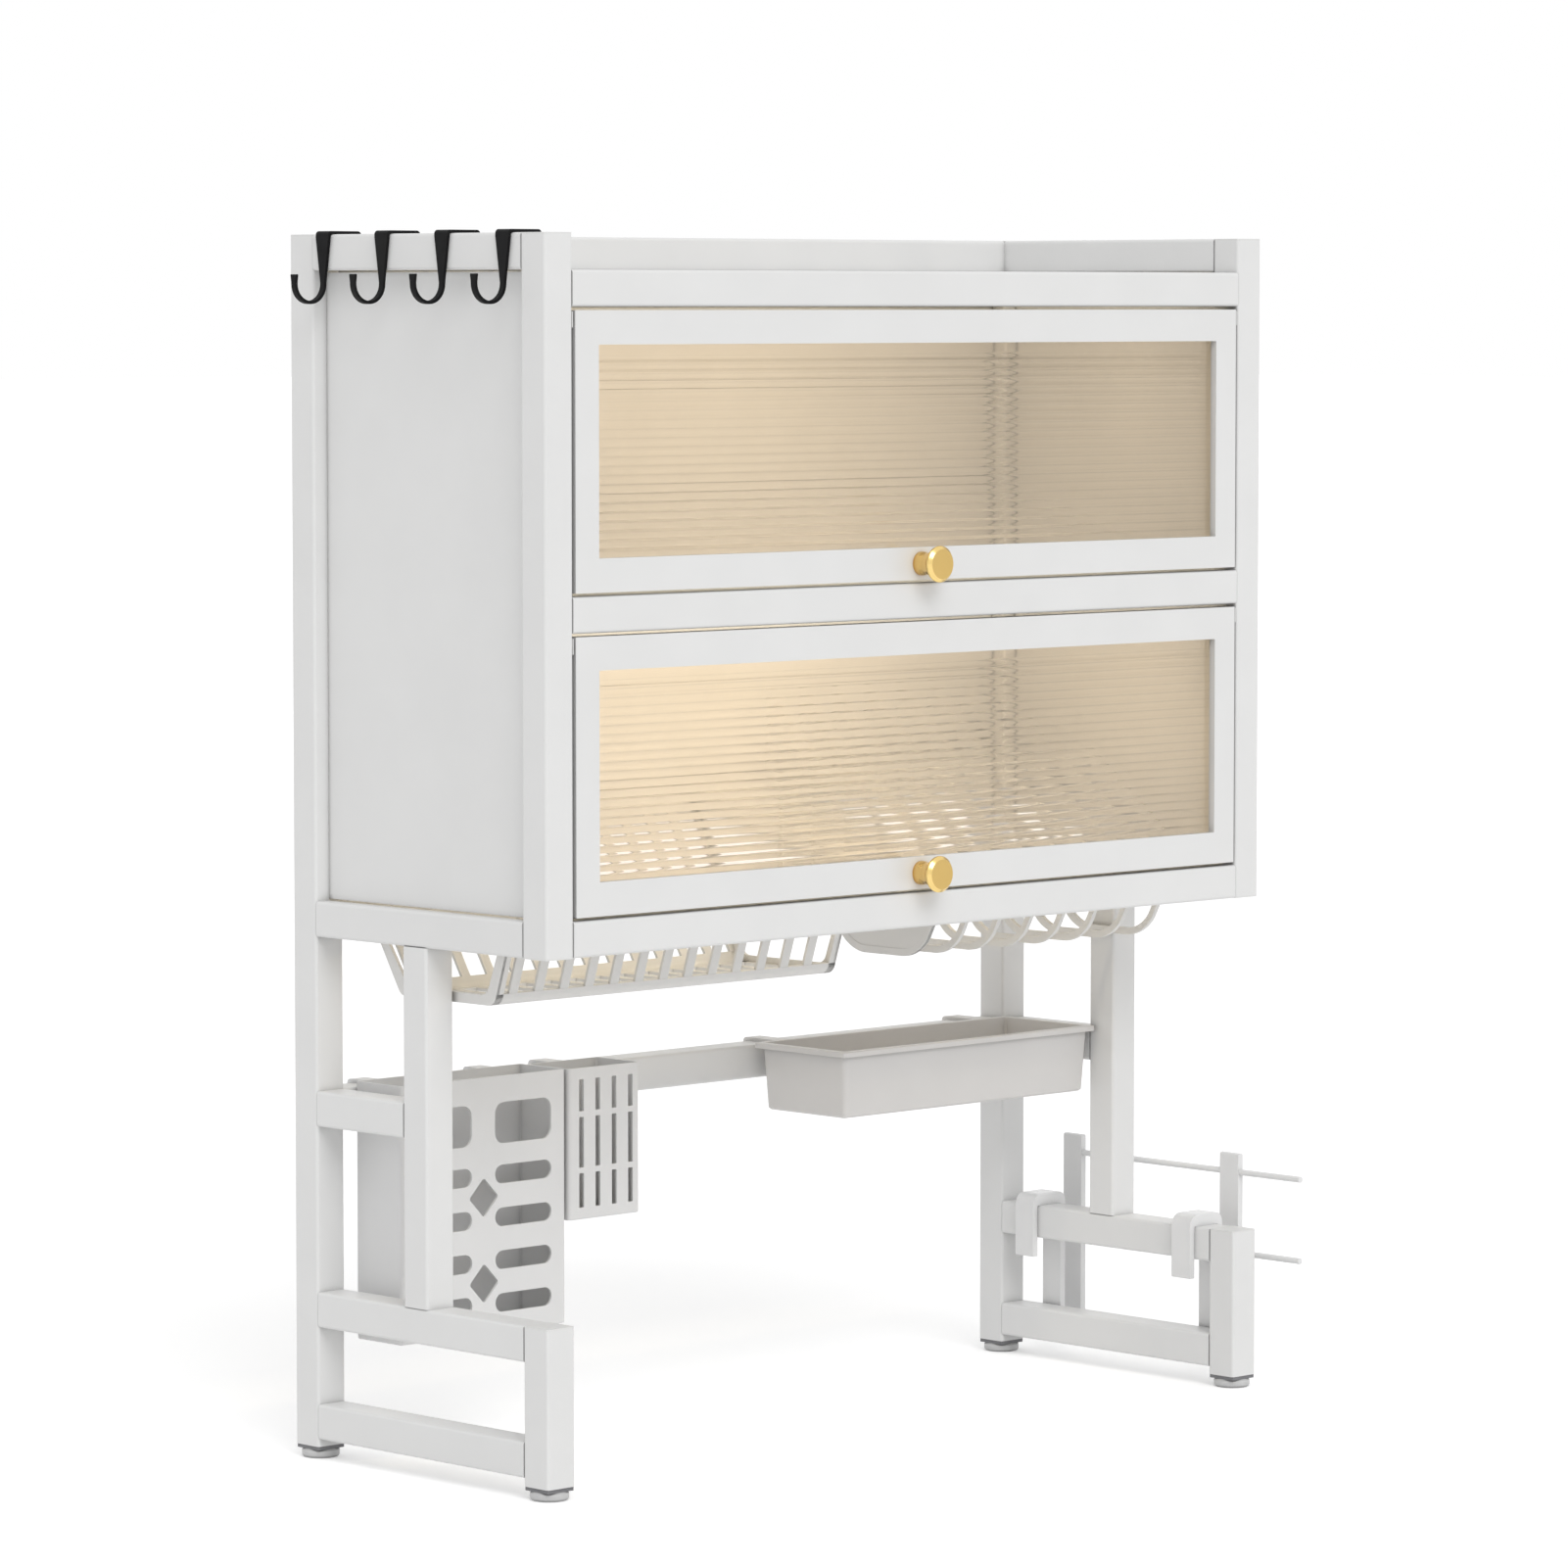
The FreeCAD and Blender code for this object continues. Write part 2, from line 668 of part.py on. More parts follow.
def pane(level, x, bottom, wide, tall):
    """Glass with horizontal half-round flutes on its rear face."""
    edge = "(sizes.pane_overlap - sizes.pane_clearance)"
    inset_x = f"(sizes.door_stile - {edge})"
    inset_z = f"(sizes.door_rail - {edge})"
    body = piece(f"{level}_door_pane", f"{x} + {inset_x}", "sizes.pane_inset", f"{bottom} + {inset_z}")
    across = f"({wide} - 2 * {inset_x})"
    section = sketch_on(body, "YZ_Plane")
    high = f"({tall} - 2 * {inset_z})"
    rectangle(section, "0", "0", "sizes.pane_thickness", high)
    pad(body, section, across)
    margin = "(sizes.pane_overlap - sizes.pane_clearance)"
    flute = sketch_on(body, "YZ_Plane", margin)
    flute_arc(flute, f"{margin} + sizes.flute_land / 2")
    rib = pad(body, flute, f"{across} - 2 * {margin}")
    rows = f"floor(({high} - 2 * {margin}) / sizes.flute_pitch)"
    repeat(body, rib, flute, "V_Axis", "sizes.flute_pitch", rows)


def flute_arc(sketch, low):
    """A shallow arc on its chord, for one flute of the pane."""
    chord = number("sizes.flute_pitch - sizes.flute_land")
    rise = number("sizes.flute_depth")
    radius = (chord * chord / 4 + rise * rise) / (2 * rise)
    back = number("sizes.pane_thickness")
    foot = number(low)
    half = math.asin(chord / 2 / radius)
    middle = Vector(back + rise - radius, foot + chord / 2, 0)
    arc = sketch.addGeometry(Part.ArcOfCircle(Part.Circle(middle, Vector(0, 0, 1), radius), -half, half))
    low_end = Vector(back, foot, 0)
    high_end = Vector(back, foot + chord, 0)
    line = sketch.addGeometry(Part.LineSegment(high_end, low_end))
    sketch.addConstraint(Sketcher.Constraint("Coincident", arc, 2, line, 1))
    sketch.addConstraint(Sketcher.Constraint("Coincident", line, 2, arc, 1))
    sketch.addConstraint(Sketcher.Constraint("Vertical", line))
    bind(sketch, Sketcher.Constraint("DistanceX", -1, 1, arc, 1, back), "sizes.pane_thickness")
    bind(sketch, Sketcher.Constraint("DistanceY", -1, 1, arc, 1, foot), low)
    width = "(sizes.flute_pitch - sizes.flute_land)"
    bind(sketch, Sketcher.Constraint("DistanceY", arc, 1, arc, 2, chord), width)
    bend = f"({width}^2 / 4 + sizes.flute_depth^2) / (2 * sizes.flute_depth)"
    bind(sketch, Sketcher.Constraint("Radius", arc, radius), bend)


def pins(level, x, bottom, hinge):
    """Two hinge pins, fast in the door and free to turn in the bushes."""
    reach = "(sizes.door_gap + sizes.pin_in_bush)"
    body = piece(f"{level}_door_pins", x, "sizes.door_thickness / 2", f"{bottom} + {hinge}")
    for start in (f"-{reach}", "places.door_width - sizes.pin_in_door"):
        rod = sketch_on(body, "YZ_Plane", start)
        circle(rod, "0", "0", "sizes.pin_radius")
        pad(body, rod, f"{reach} + sizes.pin_in_door")


def knob(level, x, z):
    """A turned knob with a wide flat head, and the screw that holds it from behind the door."""
    facing = Rotation(Vector(1, 0, 0), 90)
    body = piece(f"{level}_door_knob", x, "0", z, facing)
    profile = sketch_on(body, "XZ_Plane")
    neck, radius, reach = "sizes.knob_neck_radius", "sizes.knob_radius", "sizes.knob_reach"
    outline(
        profile,
        [
            ("sizes.screw_radius", "0", None),
            (neck, "0", None),
            (neck, f"{reach} - sizes.knob_head", None),
            (radius, f"{reach} - sizes.knob_head", None),
            (radius, reach, None),
            ("0", reach, None),
            ("0", "sizes.screw_reach", None),
            ("sizes.screw_radius", "sizes.screw_reach", None),
        ],
    )
    turn(body, profile)
    screw = piece(f"{level}_knob_screw", x, "sizes.door_thickness", z, facing)
    shank = sketch_on(screw, "XZ_Plane")
    tip = "sizes.door_thickness + sizes.screw_reach"
    outline(
        shank,
        [
            ("0", "-sizes.screw_head", None),
            ("sizes.screw_head_radius", "-sizes.screw_head", None),
            ("sizes.screw_head_radius", "0", None),
            ("sizes.screw_radius", "0", None),
            ("sizes.screw_radius", tip, None),
            ("0", tip, None),
        ],
    )
    turn(screw, shank)


def turn(body, profile):
    """Spin a profile about the body's upright axis."""
    feature = body.newObject("PartDesign::Revolution", body.Name + "_turned")
    feature.Profile = profile
    feature.ReferenceAxis = (profile, ["V_Axis"])
    feature.Angle = 360
    doc.recompute()
    return feature


def hinge_bushes():
    """Square flanged bushes in the inner walls of the front uprights, one at each pin."""
    body = piece("hinge_bushes", "0", "sizes.door_thickness / 2", "0")
    inner = "sizes.pin_radius + sizes.pin_clearance"
    for level in ("upper", "lower"):
        z = f"places.{level}_door_z + places.{level}_door_height - sizes.pin_below_top"
        for wall, way in (("sizes.tube", 1), ("places.right_x", -1)):
            for side, length, below in (
                ("sizes.bush_flange_side", "sizes.bush_flange", way < 0),
                ("sizes.bush_side", "sizes.bush_length", way > 0),
            ):
                block = sketch_on(body, "YZ_Plane", wall)
                square(block, "0", z, side)
                circle(block, "0", z, inner)
                pad(body, block, length, reverse=below)


def magnetic_catches():
    """A magnet block behind each door's left stile."""
    body = piece("magnetic_catches", "sizes.tube", "sizes.door_thickness + sizes.touch_gap", "0")
    for level in ("upper", "lower"):
        block = sketch_on(body, "XY_Plane", f"places.{level}_door_z + sizes.catch_above_bottom")
        rectangle(block, "0", "0", "sizes.catch_width", "sizes.catch_depth")
        pad(body, block, "sizes.catch_height")


# Feet

FEET = {
    "left_front_foot": ("0", "0"),
    "left_rear_foot": ("0", "places.rear_y"),
    "right_front_foot": ("places.right_x", "0"),
    "right_rear_foot": ("places.right_x", "places.rear_y"),
}


def feet():
    """Screw-in levelling feet and the plugs in the post ends that hold them."""
    plugs = piece("foot_inserts", "sizes.tube / 2", "sizes.tube / 2", "sizes.post_foot_gap")
    for name, (x, y) in FEET.items():
        foot(name, f"{x} + sizes.tube / 2", f"{y} + sizes.tube / 2")
        for side, length, below in (
            ("(sizes.tube - sizes.insert_step)", "sizes.post_foot_gap - sizes.pad_height", True),
            ("(sizes.tube - 2 * sizes.tube_wall - 2 * sizes.plug_clearance)", "sizes.insert_depth", False),
        ):
            block = sketch_on(plugs, "XY_Plane")
            square(block, x, y, side)
            circle(block, x, y, "sizes.stud_radius + sizes.stud_clearance")
            pad(plugs, block, length, reverse=below)


def foot(name, x, y):
    """A round pad with its stud, both cut as many-sided discs."""
    body = piece(name, x, y, "0")
    sides = int(number("sizes.foot_sides"))
    turns = [f"({i} * 360 / sizes.foot_sides) * 1 deg" for i in range(sides)]
    for radius, level, height in (
        ("sizes.pad_radius", "0", "sizes.pad_height"),
        ("sizes.stud_radius", "sizes.pad_height", "sizes.stud_length - sizes.pad_height"),
    ):
        disc = sketch_on(body, "XY_Plane", level)
        outline(disc, [(f"{radius} * cos({turn})", f"{radius} * sin({turn})", None) for turn in turns])
        pad(body, disc, height)


# Drainer baskets in the cabinet floor

def flange(body):
    """The flat rim of a basket, which rests on the front and rear rails."""
    rim = sketch_on(body, "XY_Plane")
    rectangle(rim, "0", "sizes.basket_front", "places.basket_length", "places.basket_rear")
    return pad(body, rim, "sizes.basket_flange")


def plate_basket():
    """A sloped trough with a slatted front, floor and rear, and open ends."""
    body = piece("plate_basket", "places.basket_x", "0", "places.bottom_deck_z")
    length = "places.basket_length"
    top, floor = "sizes.basket_flange", "-sizes.plate_trough_depth"
    wall, band, bevel = "sizes.basket_wall", "sizes.end_band", "sizes.plate_floor_bevel"
    section = sketch_on(body, "YZ_Plane")
    outline(section, trough(top, floor, "0", bevel))
    pad(body, section, length)
    flange(body)
    inside = sketch_on(body, "YZ_Plane", wall)
    inner_bevel = f"({bevel} - {wall} / 2)"
    outline(inside, trough(f"{top} + {wall}", f"{floor} + {wall}", wall, inner_bevel))
    pocket(body, inside, f"{length} - 2 * {wall}", reverse=True)
    ends = sketch_on(body, "YZ_Plane")
    outline(ends, trough(f"-{band}", f"{floor} + {band}", band, inner_bevel))
    pocket(body, ends, length, reverse=True)
    rows = sketch_on(body, "XY_Plane", floor)
    slot(rows, "places.plate_first_slot", "(sizes.plate_pitch - sizes.plate_slat)")
    height = "sizes.plate_trough_depth - sizes.plate_rail"
    cut = pocket(body, rows, height, reverse=True)
    repeat(body, cut, rows, "H_Axis", "sizes.plate_pitch", "places.plate_slots")
    last_cell = "sizes.plate_end_cell"
    last_start = f"{length} - {band} - {last_cell}"
    for start, wide in ((band, "places.plate_first_cell"), (last_start, last_cell)):
        cell = sketch_on(body, "XY_Plane", floor)
        slot(cell, start, wide)
        pocket(body, cell, height, reverse=True)


def trough(top, floor, inset, bevel):
    """The plate trough's section, drawn in from its outer faces."""
    lean_front = "((sizes.plate_floor_front - sizes.plate_trough_front) / sizes.plate_trough_depth)"
    lean_rear = "((sizes.plate_trough_rear - sizes.plate_floor_rear) / sizes.plate_trough_depth)"
    knee = f"{floor} + {bevel}"

    def front(z):
        return f"(sizes.plate_trough_front - ({z}) * {lean_front}) * places.stretch + {inset}"

    def rear(z):
        return f"(sizes.plate_trough_rear + ({z}) * {lean_rear}) * places.stretch - {inset}"

    return [
        (front(top), top, None),
        (front(knee), knee, None),
        (f"{front(floor)} + {bevel}", floor, None),
        (f"{rear(floor)} - {bevel}", floor, None),
        (rear(knee), knee, None),
        (rear(top), top, None),
    ]


def slot(sketch, start, wide):
    """One opening between two slats, from the front wall to the rear wall."""
    near = "sizes.plate_trough_front * places.stretch - sizes.cut_over"
    far = "sizes.plate_trough_rear * places.stretch + sizes.cut_over"
    rectangle(sketch, start, near, f"{start} + {wide}", far)


def bowl_basket():
    """A rim with curved ribs: a wavy top edge for bowls and a round trough below."""
    body = piece("bowl_basket", "places.bowl_x", "0", "places.bottom_deck_z")
    length = "places.basket_length"
    flange(body)
    window = sketch_on(body, "XY_Plane")
    near = "sizes.bowl_trough_front * places.stretch + sizes.bowl_window_margin"
    far = "sizes.bowl_trough_rear * places.stretch - sizes.bowl_window_margin"
    rectangle(window, "sizes.bowl_flat", near, f"{length} - sizes.bowl_window_end", far)
    pocket(body, window, "sizes.basket_flange", reverse=True)
    first = "places.first_rib"
    rib = sketch_on(body, "YZ_Plane", first)
    outline(rib, rib_edge("0", "sizes.bowl_wave_round"))
    outline(rib, rib_edge("sizes.rib_depth", None))
    plate = pad(body, rib, "sizes.rib_thickness")
    repeat(body, plate, rib, "N_Axis", "sizes.rib_pitch", "places.rib_steps + 1")
    end = sketch_on(body, "YZ_Plane", first)
    outline(end, bowl_trough("0")[:4])
    pad(body, end, "sizes.rib_thickness")
    below = "sizes.stringer_below_wave"
    stretch = "* places.stretch"
    floor_middle = f"(sizes.bowl_floor_front + sizes.bowl_floor_rear) / 2 {stretch}"
    for y, z in (
        (floor_middle, "sizes.stringer / 2 - sizes.bowl_trough_depth"),
        (f"sizes.wave_rear_from_front {stretch} - sizes.stringer", f"sizes.wave_rear_height - {below}"),
        (f"sizes.wave_crest_from_front {stretch}", f"sizes.wave_crest_height - {below}"),
    ):
        stringer = sketch_on(body, "YZ_Plane", first)
        square(stringer, y, z, "sizes.stringer")
        pad(body, stringer, f"{length} - {first}")


def bowl_trough(inset):
    """The lower part of the bowl basket's section, drawn in from its outer edge."""
    low = f"-sizes.bowl_trough_depth + {inset}"
    wall = f"{inset} * sizes.rib_wall_share"
    side = f"{inset} * sizes.rib_floor_share"
    bottom = f"(sizes.bowl_floor_round - {inset})"
    stretch = "* places.stretch"
    return [
        (f"sizes.bowl_trough_front {stretch} + {inset}", f"sizes.basket_flange - {wall}", None),
        (f"sizes.bowl_floor_front {stretch} + {side}", low, bottom),
        (f"sizes.bowl_floor_rear {stretch} - {side}", low, bottom),
        (f"sizes.bowl_trough_rear {stretch} - {inset}", "0", None),
    ]


def rib_edge(inset, wave):
    """The rib's outer edge, or its inner edge when drawn in by the rib's depth."""
    stretch = "* places.stretch"
    rear = f"sizes.wave_rear_from_front {stretch} - {inset} * sizes.rib_wall_share"
    peak = f"sizes.wave_rear_height - {inset} * sizes.rib_peak_share"
    valley = f"sizes.wave_valley_height - {inset} * sizes.rib_wave_share"
    crest = f"sizes.wave_crest_height - {inset} * sizes.rib_wave_share"
    front = f"sizes.wave_front_height - {inset} * sizes.rib_front_share"
    return bowl_trough(inset) + [
        (rear, f"sizes.basket_flange + {inset}", None),
        (rear, peak, None),
        (f"sizes.wave_valley_from_front {stretch}", valley, wave),
        (f"sizes.wave_crest_from_front {stretch}", crest, wave),
        (f"sizes.wave_front_from_front {stretch}", front, wave),
    ]


# Boxes, tray and their clips on the leg crossbar

def hung_strap(body, x, start, top, rest):
    """A strap from a rear wall's top over the crossbar and down behind it."""
    back = "sizes.overall_depth + sizes.clip_gap"
    outer = f"{back} + sizes.clip_thickness"
    drop = f"{rest} - sizes.clip_drop"
    strap = sketch_on(body, "YZ_Plane", x)
    outline(
        strap,
        [
            (start, f"{rest} - sizes.clip_lap", None),
            (start, top, None),
            (outer, top, "sizes.clip_bend"),
            (outer, drop, None),
            (back, drop, None),
            (back, rest, None),
            ("places.hang_y", rest, None),
            ("places.hang_y", f"{rest} - sizes.clip_lap", None),
        ],
    )
    pad(body, strap, "sizes.clip_width")


def open_box(name, x, front, top, width, height):
    """A box open at the top, hung with its rear wall against the crossbar."""
    body = piece(name, x, "0", top)
    base = sketch_on(body, "XY_Plane", f"-({height})")
    bevelled(base, "0", front, width, "places.hang_y", "sizes.box_bevel")
    pad(body, base, height)
    hollow(body, "sizes.box_wall", lambda face: abs(face.CenterOfMass.z) < 0.01)
    return body


def front_cut(body, front, shape, *size):
    """Cut an outline through the front wall of a box."""
    hole = sketch_on(body, "XZ_Plane", f"-{front} - sizes.box_wall")
    shape(hole, *size)
    return hole, pocket(body, hole, "sizes.box_wall + sizes.cut_over", reverse=True)


def knife_box():
    """The wide box, its front pierced by windows, pills and two diamonds."""
    front = "places.knife_box_front"
    top = "places.knife_box_top"
    wide = "sizes.knife_box_width"
    body = open_box("knife_box", "sizes.knife_box_from_side", front, top, wide, "sizes.knife_box_height")
    rest = f"places.crossbar_top_z - ({top})"
    inset = "sizes.clip_from_end"
    for x in (inset, f"{wide} - {inset} - sizes.clip_width"):
        hung_strap(body, x, "places.hang_y - sizes.box_wall", f"{rest} + sizes.clip_thickness", rest)
    half, bevel = "sizes.window_width / 2", "sizes.hole_bevel"
    for middle in ("sizes.left_window_middle", "sizes.right_window_middle"):
        left, right = f"{middle} - {half}", f"{middle} + {half}"
        window = ("sizes.window_height", "sizes.window_drop")
        pill = ("sizes.pill_height", "sizes.pill_top_drop")
        for tall, drop in (window, pill):
            low, high = f"-{drop} - {tall} / 2", f"-{drop} + {tall} / 2"
            hole, cut = front_cut(body, front, bevelled, left, low, right, high, bevel)
        repeat(body, cut, hole, "V_Axis", "sizes.pill_pitch", "sizes.pill_rows", backwards=True)
    level = "-(sizes.pill_top_drop + sizes.pill_pitch / 2)"
    across, up = "sizes.diamond_width / 2", "sizes.diamond_height / 2"
    corners = [
        (f"sizes.diamond_middle - {across}", level, None),
        ("sizes.diamond_middle", f"{level} - {up}", None),
        (f"sizes.diamond_middle + {across}", level, None),
        ("sizes.diamond_middle", f"{level} + {up}", None),
    ]
    diamond, cut = front_cut(body, front, outline, corners)
    repeat(body, cut, diamond, "V_Axis", "2 * sizes.pill_pitch", "2", backwards=True)


def chopstick_basket():
    """The narrow basket, its front a grille of upright slots in three rows."""
    front = "places.chopstick_front"
    top = "places.chopstick_top"
    wide = "sizes.chopstick_width"
    body = open_box(
        "chopstick_basket", "sizes.chopstick_from_side", front, top, wide, "sizes.chopstick_height"
    )
    rest = f"places.crossbar_top_z - ({top})"
    start = f"{wide} / 2 - sizes.clip_width / 2"
    hung_strap(body, start, "places.hang_y - sizes.box_wall", f"{rest} + sizes.clip_thickness", rest)
    left = "sizes.grille_first - sizes.grille_slot / 2"
    right = "sizes.grille_first + sizes.grille_slot / 2"
    high = "sizes.grille_margin"
    for tall in ("sizes.grille_top_slot", "sizes.grille_middle_slot", "sizes.grille_low_slot"):
        low = f"{high} + {tall}"
        grille, cut = front_cut(body, front, rectangle, left, f"-({low})", right, f"-({high})")
        repeat(body, cut, grille, "H_Axis", "sizes.grille_pitch", "sizes.grille_columns")
        high = f"{low} + sizes.grille_rail"


def ring(sketch, inset):
    """The tray's outline, drawn in from its rim."""
    front, rear = f"places.tray_front + {inset}", f"places.tray_rear - {inset}"
    bevelled(sketch, inset, front, f"sizes.tray_width - {inset}", rear, "sizes.tray_bevel")


def sponge_tray():
    """A tapered tray with a turned-out lip, hung on the crossbar by two clips."""
    body = piece("sponge_tray", "places.tray_x", "0", "places.tray_top")
    lip, wall = "sizes.tray_lip", "sizes.box_wall"
    foot = f"({lip} + sizes.tray_taper)"
    for kind, floor, low_inset, high_inset in (
        ("AdditiveLoft", "-sizes.tray_height", foot, lip),
        ("SubtractiveLoft", f"-sizes.tray_height + {wall}", f"({foot} + {wall})", f"({lip} + {wall})"),
    ):
        low = sketch_on(body, "XY_Plane", floor)
        ring(low, low_inset)
        high = sketch_on(body, "XY_Plane")
        ring(high, high_inset)
        if kind == "SubtractiveLoft":
            rim = sketch_on(body, "XY_Plane", f"-{lip}")
            ring(rim, "0")
            pad(body, rim, lip)
        loft = body.newObject(f"PartDesign::{kind}", "sponge_tray_loft")
        loft.Profile = low
        loft.Sections = [high]
        loft.Ruled = True
        doc.recompute()
    rest = "places.crossbar_top_z - places.tray_top"
    inset = "sizes.tray_clip_from_end"
    for x in (inset, f"sizes.tray_width - {inset} - sizes.clip_width"):
        hung_strap(body, x, "places.tray_rear - sizes.box_wall", "0", rest)


# Board holder on the right foot rail

def board_holder():
    """Two straps over the foot rail that turn up outside it, joined by two rods."""
    body = piece("board_holder", "places.right_x", "0", "0")
    gap = "sizes.touch_gap"
    thick = "sizes.holder_thickness"
    bend = "sizes.holder_bend"
    rail_top = "places.foot_top_z"
    outer = f"(sizes.tube + {gap} + {thick})"
    reach = f"({outer} + sizes.holder_slot)"
    low = "sizes.holder_bottom"
    arch = f"{rail_top} + sizes.holder_arch"
    leg = f"{arch} - sizes.holder_inner_leg"
    for y in ("sizes.holder_front_strap", "places.holder_rear_strap"):
        strap = sketch_on(body, "XZ_Plane", f"-{y}")
        outline(
            strap,
            [
                (f"-{gap}", leg, None),
                (f"-{gap} - {thick}", leg, None),
                (f"-{gap} - {thick}", arch, bend),
                (outer, arch, bend),
                (outer, f"{low} + {thick}", None),
                (reach, f"{low} + {thick}", None),
                (reach, "sizes.holder_outer_height", None),
                (f"{reach} + {thick}", "sizes.holder_outer_height", None),
                (f"{reach} + {thick}", low, bend),
                (f"sizes.tube + {gap}", low, None),
                (f"sizes.tube + {gap}", rail_top, None),
                (f"-{gap}", rail_top, None),
            ],
        )
        pad(body, strap, "sizes.holder_strap", reverse=True)
    run = "sizes.holder_rod_front + places.holder_rear_strap + sizes.holder_strap"
    for z in ("sizes.holder_rod_low", "sizes.holder_rod_high"):
        rod = sketch_on(body, "XZ_Plane", "sizes.holder_rod_front")
        circle(rod, f"{reach} + {thick} / 2", z, "sizes.holder_rod_radius")
        pad(body, rod, run, reverse=True)


# Utensil hooks on the left top rail

def utensil_hook(number_from_front):
    """A bent strap: a lip inside the rail, a bar over it and an open hook outside."""
    y = f"sizes.hook_front_place + {number_from_front} * places.hook_pitch - sizes.hook_width / 2"
    body = piece(f"utensil_hook_{number_from_front + 1}", "0", y, "sizes.overall_height")
    thick = "sizes.hook_thickness"
    gap = "sizes.touch_gap"
    inside, outside = f"sizes.tube + {gap}", f"-{gap} - {thick}"
    low = "-(sizes.hook_drop - sizes.hook_thickness)"
    tip = f"({outside} - sizes.hook_mouth)"
    bend = f"(places.hook_bend + {thick})"
    profile = sketch_on(body, "XZ_Plane")
    outline(
        profile,
        [
            (inside, "-sizes.hook_lip", None),
            (f"{inside} + {thick}", "-sizes.hook_lip", None),
            (f"{inside} + {thick}", thick, None),
            (outside, thick, None),
            (outside, f"{low} + {thick}", "places.hook_bend"),
            (tip, f"{low} + {thick}", "places.hook_bend"),
            (tip, f"{low} + sizes.hook_tip_height", None),
            (f"{tip} - {thick}", f"{low} + sizes.hook_tip_height", None),
            (f"{tip} - {thick}", low, bend),
            (f"-{gap}", low, bend),
            (f"-{gap}", "0", None),
            (inside, "0", None),
        ],
    )
    pad(body, profile, "sizes.hook_width", reverse=True)
    wide = "sizes.hook_width"
    side_cut = f"({wide} - sizes.hook_tip_width) / 2"
    flanks = sketch_on(body, "YZ_Plane", outside)
    under, bend_top = f"{low} - {thick}", f"{low} + {bend}"
    slope_top = f"{bend_top} + sizes.hook_slope"
    for edge, inner in (("0", side_cut), (wide, f"{wide} - {side_cut}")):
        taper = [(inner, bend_top, None), (edge, slope_top, None)]
        outline(flanks, [(edge, under, None), (inner, under, None), *taper])
    pocket(body, flanks, "sizes.hook_mouth + sizes.cut_over")


side_frame("left", "0", "sizes.tube - sizes.tube_wall")
side_frame("right", "places.right_x", "0")
cross_rails()
end_caps()
panels()
shelf("top_shelf", "places.deck_z")
shelf("middle_shelf", "places.middle_deck_z")
door("upper")
door("lower")
hinge_bushes()
magnetic_catches()
feet()
plate_basket()
bowl_basket()
knife_box()
chopstick_basket()
sponge_tray()
board_holder()
for place in range(4):
    utensil_hook(place)
doc.recompute()

# Check every object, then write one file per sub-part
for item in doc.Objects:
    if "Invalid" in item.State or "Error" in item.State:
        raise RuntimeError(f"{item.Label} is {item.State}")
for body in pieces:
    if body.Shape.isNull() or not body.Shape.isValid():
        raise RuntimeError(f"{body.Label} has no valid shape")
os.makedirs("parts", exist_ok=True)
for body in pieces:
    body.Shape.exportStep(os.path.join("parts", body.Label + ".step"))
print(len(pieces), "pieces")
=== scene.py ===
import math

import bmesh
import bpy
from mathutils import Euler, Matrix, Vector


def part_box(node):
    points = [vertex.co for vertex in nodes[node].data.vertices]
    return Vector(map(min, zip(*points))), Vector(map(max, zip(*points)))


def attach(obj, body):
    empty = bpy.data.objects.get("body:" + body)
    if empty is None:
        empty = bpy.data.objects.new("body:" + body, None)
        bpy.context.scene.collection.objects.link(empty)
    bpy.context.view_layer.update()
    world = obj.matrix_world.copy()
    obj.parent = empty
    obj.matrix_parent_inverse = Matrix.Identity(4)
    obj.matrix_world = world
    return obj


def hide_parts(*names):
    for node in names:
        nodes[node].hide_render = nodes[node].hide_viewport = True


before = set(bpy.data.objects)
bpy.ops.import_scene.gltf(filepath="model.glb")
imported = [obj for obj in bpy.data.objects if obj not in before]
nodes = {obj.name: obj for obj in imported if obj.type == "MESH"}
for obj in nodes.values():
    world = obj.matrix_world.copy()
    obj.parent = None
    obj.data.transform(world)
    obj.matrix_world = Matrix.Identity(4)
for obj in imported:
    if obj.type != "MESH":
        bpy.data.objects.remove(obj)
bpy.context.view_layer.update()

# The studio. A seamless pale floor, daylight from all round, a soft key light from the front left
# and a warm lamp in each closed tier. It isn't part of the rack.
floor_colour = (0.93, 0.93, 0.93, 1)
floor_size = 60
floor_glow = 0.3
daylight = 0.7
key_strength = 1.0
key_softness = math.radians(35)
key_turn = Euler((math.radians(48), 0, math.radians(-22)))
lamp_length = 0.56
lamp_width = 0.03
lamp_colour = (1, 0.86, 0.62)
lamp_turn = Euler((math.radians(52), 0, 0))
lamp_from_pane = Vector((0.35, 0.036, 0.03))
image_width = 1601
focal_length_in_pixels = 6814.8
sensor_width = 36
sight_limit = 200
camera_place = Vector((-3.7518, -3.8684, 0.9085))
camera_turn = Euler((math.radians(90 - 4.118), 0, math.radians(-43.99)))

scene = bpy.context.scene
scene.view_settings.view_transform = "Standard"


def seen_directly(tree):
    """1 for rays that show the surface itself, also through glass and in metal."""
    path = tree.nodes.new("ShaderNodeLightPath")
    seen = path.outputs["Is Camera Ray"]
    for way in ("Is Transmission Ray", "Is Glossy Ray"):
        either = tree.nodes.new("ShaderNodeMath")
        either.operation = "MAXIMUM"
        tree.links.new(seen, either.inputs[0])
        tree.links.new(path.outputs[way], either.inputs[1])
        seen = either.outputs[0]
    return seen


